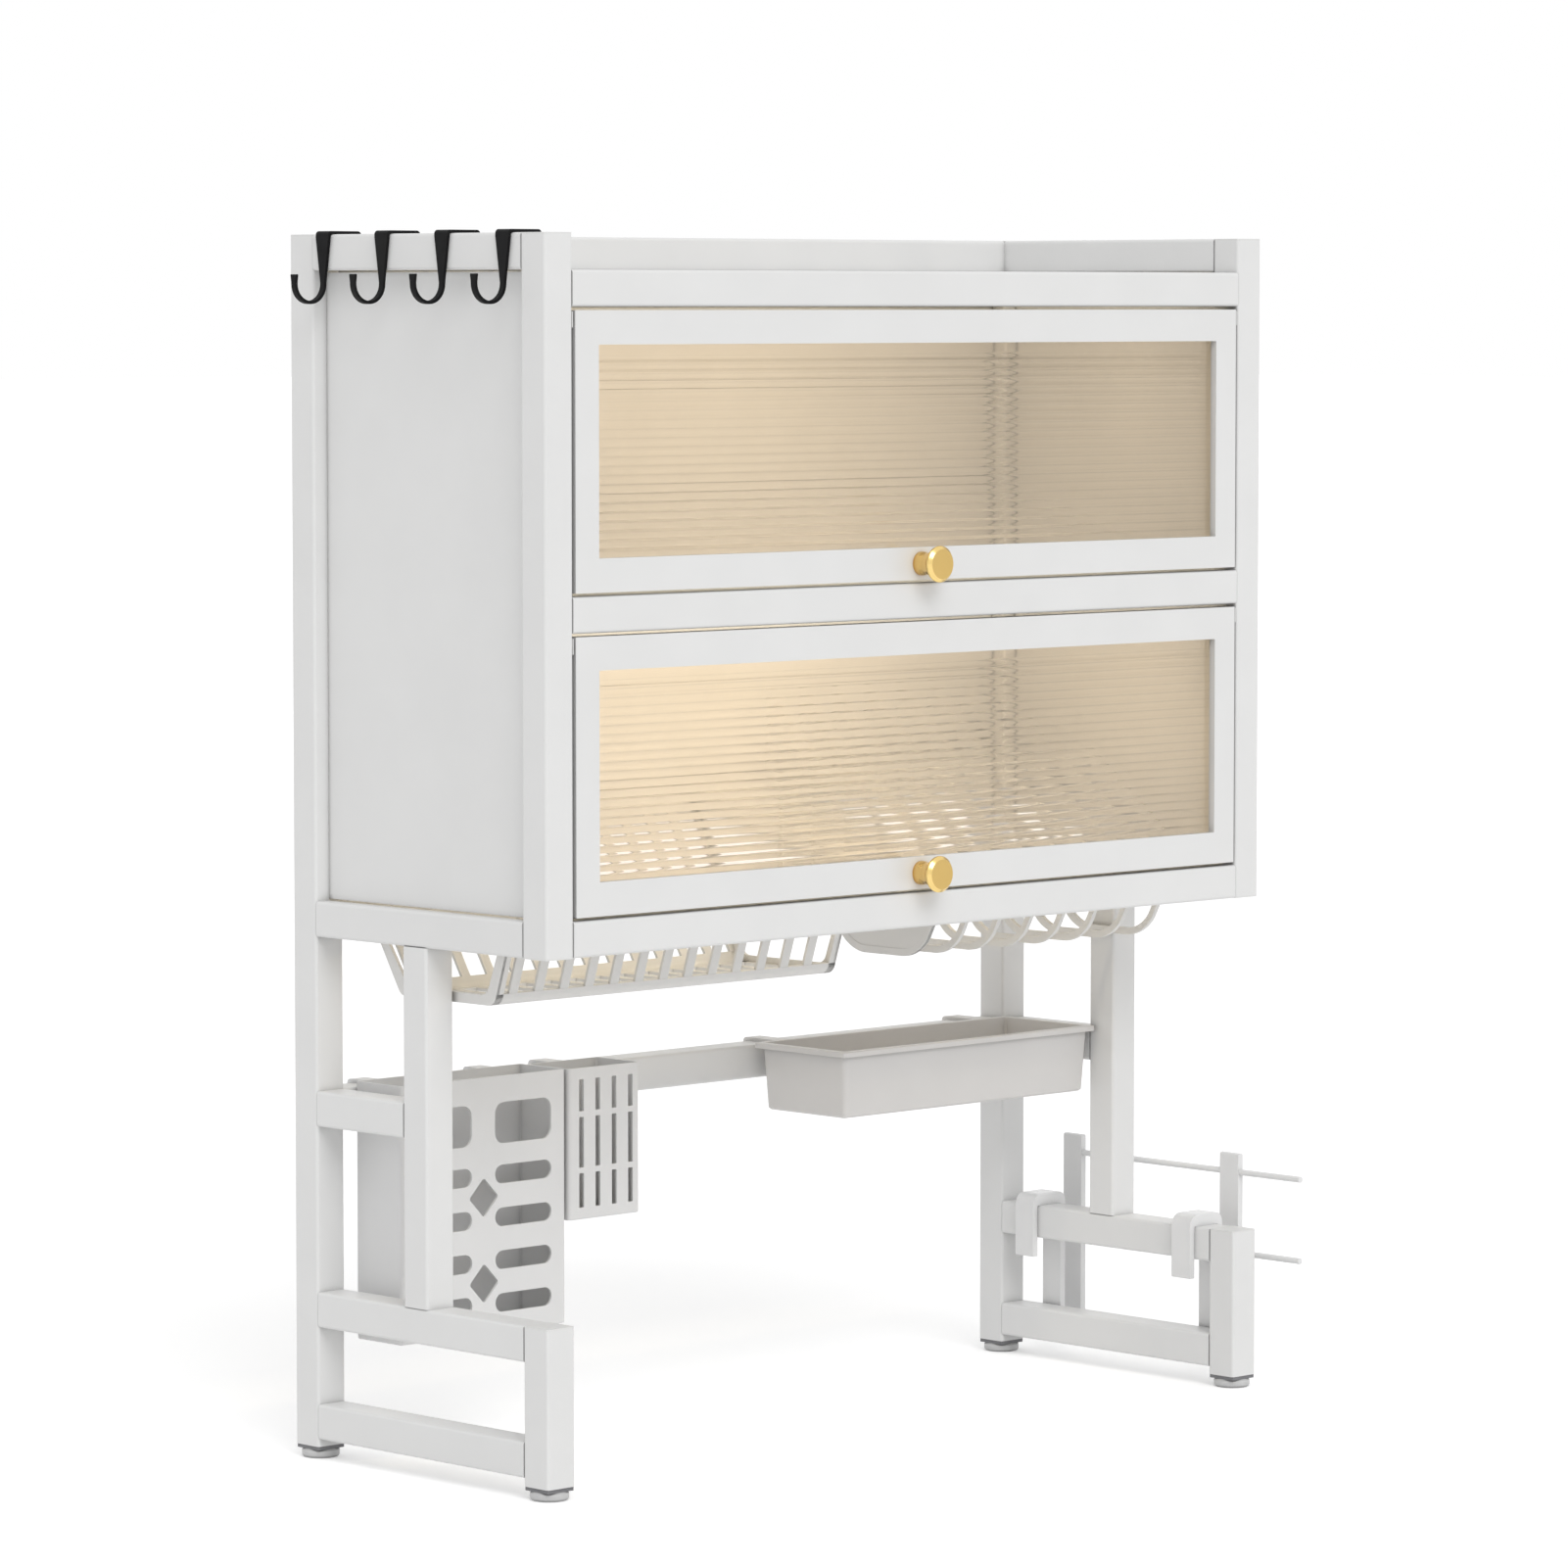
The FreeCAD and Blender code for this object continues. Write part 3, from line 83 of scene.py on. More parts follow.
def studio_daylight():
    """Even white light from all round; the background itself is pure white."""
    world = bpy.data.worlds.new("daylight")
    world.use_nodes = True
    tree = world.node_tree
    background = tree.nodes["Background"]
    background.inputs["Color"].default_value = (1, 1, 1, 1)
    strength = tree.nodes.new("ShaderNodeMapRange")
    strength.inputs["To Min"].default_value = daylight
    strength.inputs["To Max"].default_value = 1
    tree.links.new(seen_directly(tree), strength.inputs["Value"])
    tree.links.new(strength.outputs["Result"], background.inputs["Strength"])
    scene.world = world


def studio_floor():
    """A matt floor, lifted to white where it is seen, that keeps the rack's shadow."""
    mesh = bmesh.new()
    bmesh.ops.create_grid(mesh, x_segments=1, y_segments=1, size=floor_size)
    data = bpy.data.meshes.new("studio_floor")
    mesh.to_mesh(data)
    mesh.free()
    floor = bpy.data.objects.new("studio_floor", data)
    scene.collection.objects.link(floor)
    paint = bpy.data.materials.new("studio_floor_paint")
    paint.use_nodes = True
    tree = paint.node_tree
    tree.nodes.remove(tree.nodes["Principled BSDF"])
    matt = tree.nodes.new("ShaderNodeBsdfDiffuse")
    matt.inputs["Color"].default_value = floor_colour
    lift = tree.nodes.new("ShaderNodeEmission")
    strength = tree.nodes.new("ShaderNodeMath")
    strength.operation = "MULTIPLY"
    strength.inputs[1].default_value = floor_glow
    tree.links.new(seen_directly(tree), strength.inputs[0])
    tree.links.new(strength.outputs[0], lift.inputs["Strength"])
    both = tree.nodes.new("ShaderNodeAddShader")
    tree.links.new(matt.outputs[0], both.inputs[0])
    tree.links.new(lift.outputs[0], both.inputs[1])
    tree.links.new(both.outputs[0], tree.nodes["Material Output"].inputs["Surface"])
    data.materials.append(paint)


def key_light():
    light = bpy.data.lights.new("key_light", "SUN")
    light.energy = key_strength
    light.angle = key_softness
    lamp = bpy.data.objects.new("key_light", light)
    lamp.rotation_euler = key_turn
    scene.collection.objects.link(lamp)


def tier_lamp(name, pane, power):
    """A warm strip behind the rail above a door, turned to the tier's back wall."""
    low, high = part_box(pane)
    light = bpy.data.lights.new(name, "AREA")
    light.shape = "RECTANGLE"
    light.size = lamp_length
    light.size_y = lamp_width
    light.energy = power
    light.color = lamp_colour
    lamp = bpy.data.objects.new(name, light)
    lamp.location = Vector((low.x, high.y, high.z)) + lamp_from_pane
    lamp.rotation_euler = lamp_turn
    lamp.visible_camera = False
    lamp.visible_glossy = False
    lamp.visible_transmission = False
    scene.collection.objects.link(lamp)


def camera():
    lens = bpy.data.cameras.new("camera")
    lens.sensor_width = sensor_width
    lens.lens = focal_length_in_pixels * sensor_width / image_width
    lens.clip_end = sight_limit
    body = bpy.data.objects.new("camera", lens)
    body.location = camera_place
    body.rotation_euler = camera_turn
    scene.collection.objects.link(body)
    scene.camera = body


studio_daylight()
studio_floor()
key_light()
tier_lamp("upper_tier_lamp", "upper_door_pane", 0.46)
tier_lamp("lower_tier_lamp", "lower_door_pane", 0.68)
camera()

# The welded frame. Square steel tube with rounded corners, cut to length, welded and ground flush,
# then sprayed with a satin white powder coat that leaves a fine orange peel.
mm = 0.001
tube_corner = 2.6 * mm
tube_corner_steps = 5
sharp_angle = math.radians(38)
drift_size = 60 * mm
wear_size = 9 * mm
coat_white = (0.79, 0.79, 0.785)
sides = ("left", "right")
side_tubes = (
    "front_upright",
    "rear_upright",
    "top_side_rail",
    "cabinet_side_rail",
    "foot_upper_rail",
    "foot_lower_bar",
    "mid_post",
    "crossbar",
    "foot_post",
)
cross_tubes = (
    "top_front_rail",
    "middle_front_rail",
    "bottom_front_rail",
    "guard_rail",
    "top_rear_rail",
    "middle_rear_rail",
    "bottom_rear_rail",
    "leg_crossbar",
)


def noise(tree, size, detail=2):
    """Noise in real size: one blob is about that many metres across."""
    place = tree.nodes.new("ShaderNodeTexCoord")
    cloud = tree.nodes.new("ShaderNodeTexNoise")
    cloud.inputs["Scale"].default_value = 1 / size
    cloud.inputs["Detail"].default_value = detail
    tree.links.new(place.outputs["Object"], cloud.inputs["Vector"])
    return cloud.outputs["Fac"]


def spread(tree, value, low, high):
    """Stretches a noise's middle range over low to high."""
    scale = tree.nodes.new("ShaderNodeMapRange")
    scale.inputs["From Min"].default_value = 0.3
    scale.inputs["From Max"].default_value = 0.7
    scale.inputs["To Min"].default_value = low
    scale.inputs["To Max"].default_value = high
    tree.links.new(value, scale.inputs["Value"])
    return scale.outputs["Result"]


def two_tone(tree, value, first, second):
    """A colour between two, chosen by a value from 0 to 1."""
    mix = tree.nodes.new("ShaderNodeMix")
    mix.data_type = "RGBA"
    mix.inputs[6].default_value = (*first, 1)
    mix.inputs[7].default_value = (*second, 1)
    tree.links.new(value, mix.inputs[0])
    return mix.outputs[2]


def grain(tree, shader, size, depth):
    """Fine relief over the whole surface."""
    relief = tree.nodes.new("ShaderNodeBump")
    relief.inputs["Distance"].default_value = depth
    tree.links.new(noise(tree, size, 3), relief.inputs["Height"])
    tree.links.new(relief.outputs[0], shader.inputs["Normal"])


def paint_crease_shade(tree, colour, crease_shade, reach):
    """Painted shade: turns a colour towards its shade colour in narrow gaps and inner corners, by
    ambient occlusion.
    """
    closed_in = tree.nodes.new("ShaderNodeAmbientOcclusion")
    closed_in.samples = 4
    closed_in.inputs["Distance"].default_value = reach
    openness = tree.nodes.new("ShaderNodeMapRange")
    openness.inputs["From Min"].default_value = 0.2
    openness.inputs["From Max"].default_value = 0.8
    tree.links.new(closed_in.outputs["AO"], openness.inputs["Value"])
    mix = tree.nodes.new("ShaderNodeMix")
    mix.data_type = "RGBA"
    mix.inputs[6].default_value = (*crease_shade, 1)
    tree.links.new(openness.outputs["Result"], mix.inputs[0])
    tree.links.new(colour, mix.inputs[7])
    return mix.outputs[2]


def finish(name, colour, shade, smooth, rough, grain_size, grain_depth, crease_shade=None, reach=8 * mm):
    """A finish that drifts between two colours and two roughnesses, carries a fine grain and has shade
    painted into its colour in gaps and inner corners.
    """
    material = bpy.data.materials.new(name)
    material.use_nodes = True
    tree = material.node_tree
    shader = tree.nodes["Principled BSDF"]
    drift = spread(tree, noise(tree, drift_size), 0, 1)
    # Painted shade: unless another is given, the shade colour is the colour at 0.55 of its brightness.
    tone = paint_crease_shade(tree, two_tone(tree, drift, colour, shade), crease_shade or darker(colour, 0.55), reach)
    tree.links.new(tone, shader.inputs["Base Color"])
    wear = spread(tree, noise(tree, wear_size), smooth, rough)
    tree.links.new(wear, shader.inputs["Roughness"])
    grain(tree, shader, grain_size, grain_depth)
    return material


def darker(colour, share):
    """A colour at a share of its brightness."""
    return tuple(channel * share for channel in colour)


# Like every finish here, the powder coat has shade painted into its colour in gaps and inner corners.
powder_coat = finish(
    "powder_coat",
    coat_white,
    darker(coat_white, 0.975),
    smooth=0.34,
    rough=0.42,
    grain_size=1.1 * mm,
    grain_depth=0.02 * mm,
)


def bar(mesh, low, high):
    """A square-edged bar between two corners."""
    low, high = Vector(low), Vector(high)
    made = bmesh.ops.create_cube(mesh, size=1)["verts"]
    bmesh.ops.scale(mesh, vec=high - low, verts=made)
    bmesh.ops.translate(mesh, vec=(low + high) / 2, verts=made)


def make(name, mesh, material, soften=0.4 * mm):
    """Turns a mesh into an object with slightly broken edges, or crisp ones if it isn't softened."""
    bmesh.ops.recalc_face_normals(mesh, faces=mesh.faces[:])
    for face in mesh.faces:
        face.smooth = True
    if not soften:
        for edge in mesh.edges:
            edge.smooth = edge.calc_face_angle(0) < sharp_angle
    data = bpy.data.meshes.new(name)
    mesh.to_mesh(data)
    mesh.free()
    data.materials.append(material)
    thing = bpy.data.objects.new(name, data)
    scene.collection.objects.link(thing)
    if soften:
        broken = thing.modifiers.new("broken_edges", "BEVEL")
        broken.width = soften
        broken.segments = 2
        broken.limit_method = "ANGLE"
        broken.angle_limit = sharp_angle
    flat = thing.modifiers.new("true_flats", "WEIGHTED_NORMAL")
    flat.keep_sharp = True
    return thing


def fit(thing, body, slot, *replaced):
    """Mounts a finished piece on its body, in the place of CAD nodes."""
    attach(thing, body)
    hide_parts(*replaced)


def coat(node, material):
    """Gives a CAD node a better finish."""
    for slot in nodes[node].material_slots:
        slot.material = material


def tube(node):
    """A square tube with rounded long edges."""
    low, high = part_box(node)
    size = high - low
    along = max(range(3), key=lambda axis: size[axis])
    mesh = bmesh.new()
    bar(mesh, low, high)
    middle = (low[along] + high[along]) / 2
    long_edges = [
        edge
        for edge in mesh.edges
        if (edge.verts[0].co[along] > middle) != (edge.verts[1].co[along] > middle)
    ]
    bmesh.ops.bevel(
        mesh,
        geom=long_edges,
        offset=tube_corner,
        affect="EDGES",
        segments=tube_corner_steps,
        profile=0.5,
        material=-1,
    )
    fit(make(f"{node}_tube", mesh, powder_coat, 0), "rack_frame", "white_powder_coat", node)


for side in sides:
    for name in side_tubes:
        tube(f"{side}_{name}")
for name in cross_tubes:
    tube(name)

# Sheet metal: side and back panels welded inside the frame, and the two shelves, folded down along
# front and rear. They get the same coat as the tubes; where the panels meet the tubes their colour
# turns near black, painted shade in the joints. The tube ends have moulded caps.
cap_white = (0.77, 0.77, 0.76)
# Painted shade: the near-black brown that the panels' colour turns to within 6 mm of the tubes and of
# each other.
painted_seam_shade = (0.07, 0.06, 0.05)
cap_plastic = finish(
    "cap_plastic",
    cap_white,
    darker(cap_white, 0.97),
    smooth=0.4,
    rough=0.5,
    grain_size=0.5 * mm,
    grain_depth=0.01 * mm,
)
panel_coat = finish(
    "panel_coat",
    coat_white,
    darker(coat_white, 0.975),
    smooth=0.36,
    rough=0.44,
    grain_size=1.1 * mm,
    grain_depth=0.02 * mm,
    crease_shade=painted_seam_shade,
    reach=6 * mm,
)
for node in ("left_side_panel", "right_side_panel", "upper_back_panel", "lower_back_panel"):
    coat(node, panel_coat)
for node in ("top_shelf", "middle_shelf"):
    coat(node, powder_coat)
for node in ("tube_end_caps", "hinge_bushes", "magnetic_catches"):
    coat(node, cap_plastic)

# The doors' frames. A coated aluminium frame with a flat front and a step behind it that seats the
# glass; it hangs on two steel pins near its top edge.
stile = 24 * mm
rail = 26 * mm
seat_lap = 6 * mm
face_depth = 6 * mm
face_corner = 0.8 * mm
seat_corner = 0.5 * mm
door_edge = 0.7 * mm
arc_steps = 6
axes = {
    "x": lambda across, up, along: Vector((along, across, up)),
    "y": lambda across, up, along: Vector((across, along, up)),
    "z": lambda across, up, along: Vector((across, up, along)),
}


def corner_slide(before, corner, after, radius):
    """How far from a corner its rounding starts."""
    back = (before - corner).normalized()
    ahead = (after - corner).normalized()
    return radius / math.tan(back.angle(ahead) / 2)


def rounded(corners, place):
    """The points round a closed outline of (across, up, radius) corners, once they are rounded."""
    flat = bmesh.new()
    points = [flat.verts.new(place(across, up)) for across, up, _ in corners]
    spots = [point.co.copy() for point in points]
    flat.faces.new(points)
    for i, (_, _, radius) in enumerate(corners):
        if radius:
            slide = corner_slide(spots[i - 1], spots[i], spots[(i + 1) % len(spots)], radius)
            bmesh.ops.bevel(
                flat,
                geom=[points[i]],
                offset=slide,
                affect="VERTICES",
                segments=arc_steps + int(radius / (5 * mm)),
                profile=0.5,
                material=-1,
            )
    flat.faces.ensure_lookup_table()
    run = [vert.co.copy() for vert in flat.faces[0].verts]
    flat.free()
    return run


def loop(mesh, run):
    """Closes a run of points with edges."""
    verts = [mesh.verts.new(spot) for spot in run]
    return [mesh.edges.new(pair) for pair in zip(verts, verts[1:] + verts[:1])]


def cut_sheet(mesh, along, outlines, low, high):
    """Adds a flat of even thickness: the first outline less the others."""
    place = axes[along]
    edges = []
    for corners in outlines:
        edges += loop(mesh, rounded(corners, lambda across, up: place(across, up, low)))
    filled = bmesh.ops.triangle_fill(mesh, edges=edges, use_beauty=True)["geom"]
    faces = [item for item in filled if isinstance(item, bmesh.types.BMFace)]
    grown = bmesh.ops.extrude_face_region(mesh, geom=faces, use_keep_orig=True)["geom"]
    moved = [item for item in grown if isinstance(item, bmesh.types.BMVert)]
    bmesh.ops.translate(mesh, vec=place(0, 0, high - low), verts=moved)


def panel_outline(x0, z0, x1, z1, radius=0):
    """A rectangle between two corners, all its corners rounded alike."""
    return [(x0, z0, radius), (x1, z0, radius), (x1, z1, radius), (x0, z1, radius)]


steel = finish(
    "zinc_steel",
    (0.62, 0.61, 0.6),
    (0.52, 0.52, 0.53),
    smooth=0.28,
    rough=0.4,
    grain_size=0.8 * mm,
    grain_depth=0.01 * mm,
)
steel.node_tree.nodes["Principled BSDF"].inputs["Metallic"].default_value = 1
for level in ("upper", "lower"):
    low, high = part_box(f"{level}_door_frame")
    step = low.y + face_depth
    outer = panel_outline(low.x, low.z, high.x, high.z, face_corner)
    sight = panel_outline(low.x + stile, low.z + rail, high.x - stile, high.z - rail, face_corner)
    seat_x, seat_z = stile - seat_lap, rail - seat_lap
    seat = panel_outline(low.x + seat_x, low.z + seat_z, high.x - seat_x, high.z - seat_z, seat_corner)
    mesh = bmesh.new()
    cut_sheet(mesh, "y", [outer, sight], low.y, step)
    cut_sheet(mesh, "y", [outer, seat], step, high.y)
    piece = make(f"{level}_door_surround", mesh, powder_coat, door_edge)
    fit(piece, f"{level}_door", "door_coat", f"{level}_door_frame")
    coat(f"{level}_door_pins", steel)
    coat(f"{level}_knob_screw", steel)

# The doors' panes. Rolled glass with a faint amber tint, flat outside. Half-round flutes run across
# its inner face, with narrow lands between them, and blur the view through it.
flute_pitch = 7 * mm
flute_rise = 0.7 * mm
flute_land = 0.6 * mm
flute_steps = 6
glass_tint = (1.0, 0.91, 0.8)
tint_size = 90 * mm
polish_size = 20 * mm
ripple_size = 25 * mm
ripple_depth = 0.006 * mm


def amber_glass():
    """Rolled glass whose tint and polish drift a little, with a faint ripple."""
    material = bpy.data.materials.new("amber_glass")
    material.use_nodes = True
    tree = material.node_tree
    shader = tree.nodes["Principled BSDF"]
    shader.inputs["Transmission Weight"].default_value = 1
    shader.inputs["IOR"].default_value = 1.5
    drift = spread(tree, noise(tree, tint_size), 0, 1)
    tint = two_tone(tree, drift, glass_tint, darker(glass_tint, 0.97))
    tree.links.new(tint, shader.inputs["Base Color"])
    tree.links.new(spread(tree, noise(tree, polish_size), 0.01, 0.03), shader.inputs["Roughness"])
    grain(tree, shader, ripple_size, ripple_depth)
    return material


glass = amber_glass()


def fluted_pane(node, body):
    """Spins one flute, repeats it up the pane and closes the lands, the ends and the flat front."""
    low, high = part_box(node)
    back = high.y - flute_rise
    chord = flute_pitch - flute_land
    radius = (chord * chord / 4 + flute_rise * flute_rise) / (2 * flute_rise)
    half = math.asin(chord / 2 / radius)
    rows = int((high.z - low.z - 2 * seat_lap) / flute_pitch)
    mesh = bmesh.new()
    start = low.z + seat_lap + flute_land / 2
    ends = [mesh.verts.new((x, back, start)) for x in (low.x, high.x)]
    edge = mesh.edges.new(ends)
    centre = Vector((0, high.y - radius, start + chord / 2))
    bmesh.ops.spin(
        mesh, geom=[*ends, edge], cent=centre, axis=(1, 0, 0), angle=2 * half, steps=flute_steps
    )
    flute = mesh.verts[:] + mesh.edges[:] + mesh.faces[:]
    for row in range(1, rows):
        copy = bmesh.ops.duplicate(mesh, geom=flute)["geom"]
        points = [item for item in copy if isinstance(item, bmesh.types.BMVert)]
        bmesh.ops.translate(mesh, vec=(0, 0, row * flute_pitch), verts=points)
    left = sorted((vert for vert in mesh.verts if vert.co.x < 0), key=lambda vert: vert.co.z)
    right = sorted((vert for vert in mesh.verts if vert.co.x > 0), key=lambda vert: vert.co.z)
    for i in range(len(left) - 1):
        if not mesh.edges.get((left[i], left[i + 1])):
            mesh.faces.new((left[i], right[i], right[i + 1], left[i + 1]))
    corners = [mesh.verts.new((x, back, z)) for z in (low.z, high.z) for x in (low.x, high.x)]
    mesh.faces.new((corners[0], corners[1], right[0], left[0]))
    mesh.faces.new((left[-1], right[-1], corners[3], corners[2]))
    rim = [edge for edge in mesh.edges if edge.is_boundary]
    grown = bmesh.ops.extrude_edge_only(mesh, edges=rim)["geom"]
    front = [item for item in grown if isinstance(item, bmesh.types.BMVert)]
    for vert in front:
        vert.co.y = low.y
    bmesh.ops.holes_fill(mesh, edges=[edge for edge in mesh.edges if edge.is_boundary])
    fit(make(f"{node}_glass", mesh, glass, 0), body, "reeded_glass", node)


for level in ("upper", "lower"):
    fluted_pane(f"{level}_door_pane", f"{level}_door")

# The knobs. Turned brass: a foot and a neck that flares into the head, both polished, and a broad
# polished bevel round a flat satin face. A screw from behind the door holds each.
knob_profile = (
    (9.6, 0, 0),
    (9.6, 2.4, 0.8),
    (8.7, 8, 8),
    (10.4, 15.5, 6),
    (14.5, 19.8, 0.8),
    (14.5, 21.4, 0.6),
    (11.9, 24, 0.3),
    (0, 24, 0),
)
turn_steps = 64
turn_rounding_steps = 4
brass_gold = (0.90, 0.66, 0.26)
# Painted reflection: in the knob's hollows, under the head and round the neck, the polished brass
# turns this orange, as if lit by its own brass.
painted_brass_reflection = (0.5, 0.18, 0.01)
# The flat face has a real satin roughness, and its gold is painted darker than the polished brass:
# painted shade standing in for its duller reflection.
satin_gold_painted_darker = (0.66, 0.46, 0.165)
polished_brass = finish(
    "polished_brass",
    brass_gold,
    darker(brass_gold, 0.93),
    smooth=0.16,
    rough=0.24,
    grain_size=3 * mm,
    grain_depth=0.004 * mm,
    crease_shade=painted_brass_reflection,
    reach=20 * mm,
)
satin_brass = finish(
    "satin_brass",
    satin_gold_painted_darker,
    darker(satin_gold_painted_darker, 0.94),
    smooth=0.36,
    rough=0.44,
    grain_size=0.9 * mm,
    grain_depth=0.01 * mm,
)
for brass in (polished_brass, satin_brass):
    brass.node_tree.nodes["Principled BSDF"].inputs["Metallic"].default_value = 1


def turned(mesh, profile, centre, axis, outwards):
    """Spins a profile of (radius, height, rounding) in millimetres about an axis."""
    sideways = Vector((1, 0, 0))
    points = [
        mesh.verts.new(centre + sideways * radius * mm + outwards * height * mm)
        for radius, height, _ in profile
    ]
    spots = [point.co.copy() for point in points]
    for first, second in zip(points, points[1:]):
        mesh.edges.new((first, second))
    for i, (_, _, rounding) in enumerate(profile):
        if rounding:
            slide = corner_slide(spots[i - 1], spots[i], spots[i + 1], rounding * mm)
            bmesh.ops.bevel(
                mesh,
                geom=[points[i]],
                offset=slide,
                affect="VERTICES",
                segments=turn_rounding_steps,
                profile=0.5,
                material=-1,
            )
    bmesh.ops.spin(
        mesh,
        geom=mesh.verts[:] + mesh.edges[:],
        cent=centre,
        axis=axis,
        angle=2 * math.pi,
        steps=turn_steps,
        use_merge=True,
    )
    bmesh.ops.remove_doubles(mesh, verts=mesh.verts[:], dist=0.002 * mm)
    bmesh.ops.holes_fill(mesh, edges=[edge for edge in mesh.edges if edge.is_boundary])


for level in ("upper", "lower"):
    low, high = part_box(f"{level}_door_knob")
    middle = (low + high) / 2
    mesh = bmesh.new()
    foot = Vector((middle.x, high.y, middle.z))
    turned(mesh, knob_profile, foot, (0, 1, 0), Vector((0, -1, 0)))
    knob = make(f"{level}_knob", mesh, polished_brass, 0)
    knob.data.materials.append(satin_brass)
    for face in knob.data.polygons:
        on_the_flat_face = face.normal.y < -0.99
        face.material_index = 1 if on_the_flat_face else 0
    fit(knob, f"{level}_door", "brass_knob", f"{level}_door_knob")

# The plate basket. One moulding in white plastic: a rim that rests on the cabinet's rails, and below
# it a sloped trough whose front, floor and rear are slats between rails. The first slat stands close
# to the left end, and the last cell on the right is wide.
basket_white = (0.80, 0.79, 0.77)
basket_wall = 3 * mm
rim_thickness = 2.5 * mm
basket_plastic = finish(
    "basket_plastic",
    basket_white,
    darker(basket_white, 0.97),
    smooth=0.36,
    rough=0.46,
    grain_size=0.7 * mm,
    grain_depth=0.012 * mm,
)


def strip(points, thickness):
    """A run of (across, up, radius) points and the same run drawn in by the thickness on its left."""
    inner = []
    for i, (across, up, radius) in enumerate(points):
        here = Vector((across, up))
        ahead = Vector(points[i + 1][:2]) - here if i + 1 < len(points) else None
        back = here - Vector(points[i - 1][:2]) if i else None
        coming, going = (back or ahead).normalized(), (ahead or back).normalized()
        mitre = (coming.orthogonal() + going.orthogonal()).normalized()
        moved = here + mitre * thickness / mitre.dot(coming.orthogonal())
        tighter = -thickness if coming.cross(going) > 0 else thickness
        inner.append((moved.x, moved.y, max(radius + tighter, 0.3 * mm) if radius else 0))
    return points + inner[::-1]


def plate_basket():
    low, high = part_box("plate_basket")
    seat = high.z - rim_thickness
    depth = seat - low.z
    front_top, rear_top = low.y + 53.5 * mm, low.y + 229.5 * mm
    front_foot, rear_foot = low.y + 76.5 * mm, low.y + 185.5 * mm
    front_lean, rear_lean = (front_foot - front_top) / depth, (rear_top - rear_foot) / depth
    band, fold, rail, rail_foot = 8 * mm, 9 * mm, 9 * mm, 14 * mm
    slat, pitch, last_cell, slots = 8.8 * mm, 26.3 * mm, 19 * mm, 12
    recess = 0.2 * mm

    def section(top, inset):
        """Down the front, along the floor and up the rear."""
        bottom = low.z + inset
        return [
            (front_top + (seat - top) * front_lean + inset, top, 0),
            (front_foot + inset, bottom, fold),
            (rear_foot - inset, bottom, fold),
            (rear_top - (seat - top) * rear_lean - inset, top, 0),
        ]

    mesh = bmesh.new()
    rim = panel_outline(low.x, low.y, high.x, high.y, 4 * mm)
    mouth = panel_outline(
        low.x + band, front_top + basket_wall, high.x - band, rear_top - basket_wall, 3 * mm
    )
    cut_sheet(mesh, "z", [rim, mouth], seat, high.z)
    bent = strip(section(seat, 0), basket_wall)
    end = [section(seat, 0), section(seat - band, band)]
    for start in (low.x, high.x - basket_wall):
        cut_sheet(mesh, "x", end, start, start + basket_wall)
    for start in (low.x, high.x - band):
        cut_sheet(mesh, "x", [bent], start + recess, start + band - recess)
    slender = strip(section(seat, recess), basket_wall - 2 * recess)
    first_slot = high.x - band - last_cell - slots * pitch
    for i in range(slots + 1):
        start = first_slot - slat + i * pitch
        cut_sheet(mesh, "x", [slender], start, start + slat)
    for top, foot, lean in ((front_top, front_foot, front_lean), (rear_top, rear_foot, -rear_lean)):
        way = 1 if lean > 0 else -1
        upper = [(top, seat, 0), (top + rail * lean, seat - rail, 0)]
        lower = [
            (foot - rail * lean, low.z + rail, 0),
            (foot, low.z, fold),
            (foot + way * rail_foot, low.z, 0),
        ]
        for run in (upper, lower):
            cut_sheet(mesh, "x", [strip(run, way * basket_wall)], low.x + recess, high.x - recess)
    return make("plate_drainer", mesh, basket_plastic)


fit(plate_basket(), "plate_basket_body", "white_plastic", "plate_basket")

# The bowl basket. The same plastic: a rim with a window, and eight ribs across it whose upper edges
# wave. Their lower edges round off into a trough that is closed at its left end, and three stringers
# join them.
def bowl_basket():
    low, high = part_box("bowl_basket")
    seat = low.z + 66 * mm
    front = low.y - 18.5 * mm
    rib, pitch, ribs = 4 * mm, 38.4 * mm, 8
    flat, stringer = 90 * mm, 1.9 * mm
    end_inset, rib_edge = 0.4 * mm, 0.7 * mm

    def line(points):
        """Places (depth, height, radius) points given in millimetres from the basket's front seat."""
        return [(front + y * mm, seat + z * mm, radius * mm) for y, z, radius in points]

    trough = line([(62, 2.5, 0), (97, -66, 34), (176, -66, 34), (236, 0, 0)])
    wave = line([(266, 2.5, 2), (266, 82, 3), (195, 32, 14), (156, 49, 12), (100, 23, 10)])
    hollow = line(
        [
            (68.5, 1, 2),
            (99.6, -60, 28),
            (173, -60, 28),
            (229.5, 1, 3),
            (262.4, 14.5, 3),
            (262.4, 64, 2),
            (195, 17.6, 20),
            (156, 34.6, 8),
            (100, 12.2, 12),
        ]
    )
    mesh = bmesh.new()
    rim = panel_outline(low.x, low.y, high.x, high.y, 4 * mm)
    window = panel_outline(
        low.x + flat, front + 66 * mm, high.x - 1 * mm, front + 232 * mm, 3 * mm
    )
    cut_sheet(mesh, "z", [rim, window], seat, seat + rim_thickness)
    first = high.x - rib - (ribs - 1) * pitch
    for i in range(ribs):
        start = first + i * pitch
        cut_sheet(mesh, "x", [trough + wave, hollow], start, start + rib)
    cut_sheet(mesh, "x", [trough], first + end_inset, first + rib - end_inset)
    for y, z, _ in line([(136.5, -64, 0), (262, 73, 0), (156, 40, 0)]):
        bar(
            mesh,
            (first + 1 * mm, y - stringer, z - stringer),
            (high.x - 0.1 * mm, y + stringer, z + stringer),
        )
    return make("bowl_drainer", mesh, basket_plastic, rib_edge)


fit(bowl_basket(), "bowl_basket_body", "white_plastic", "bowl_basket")

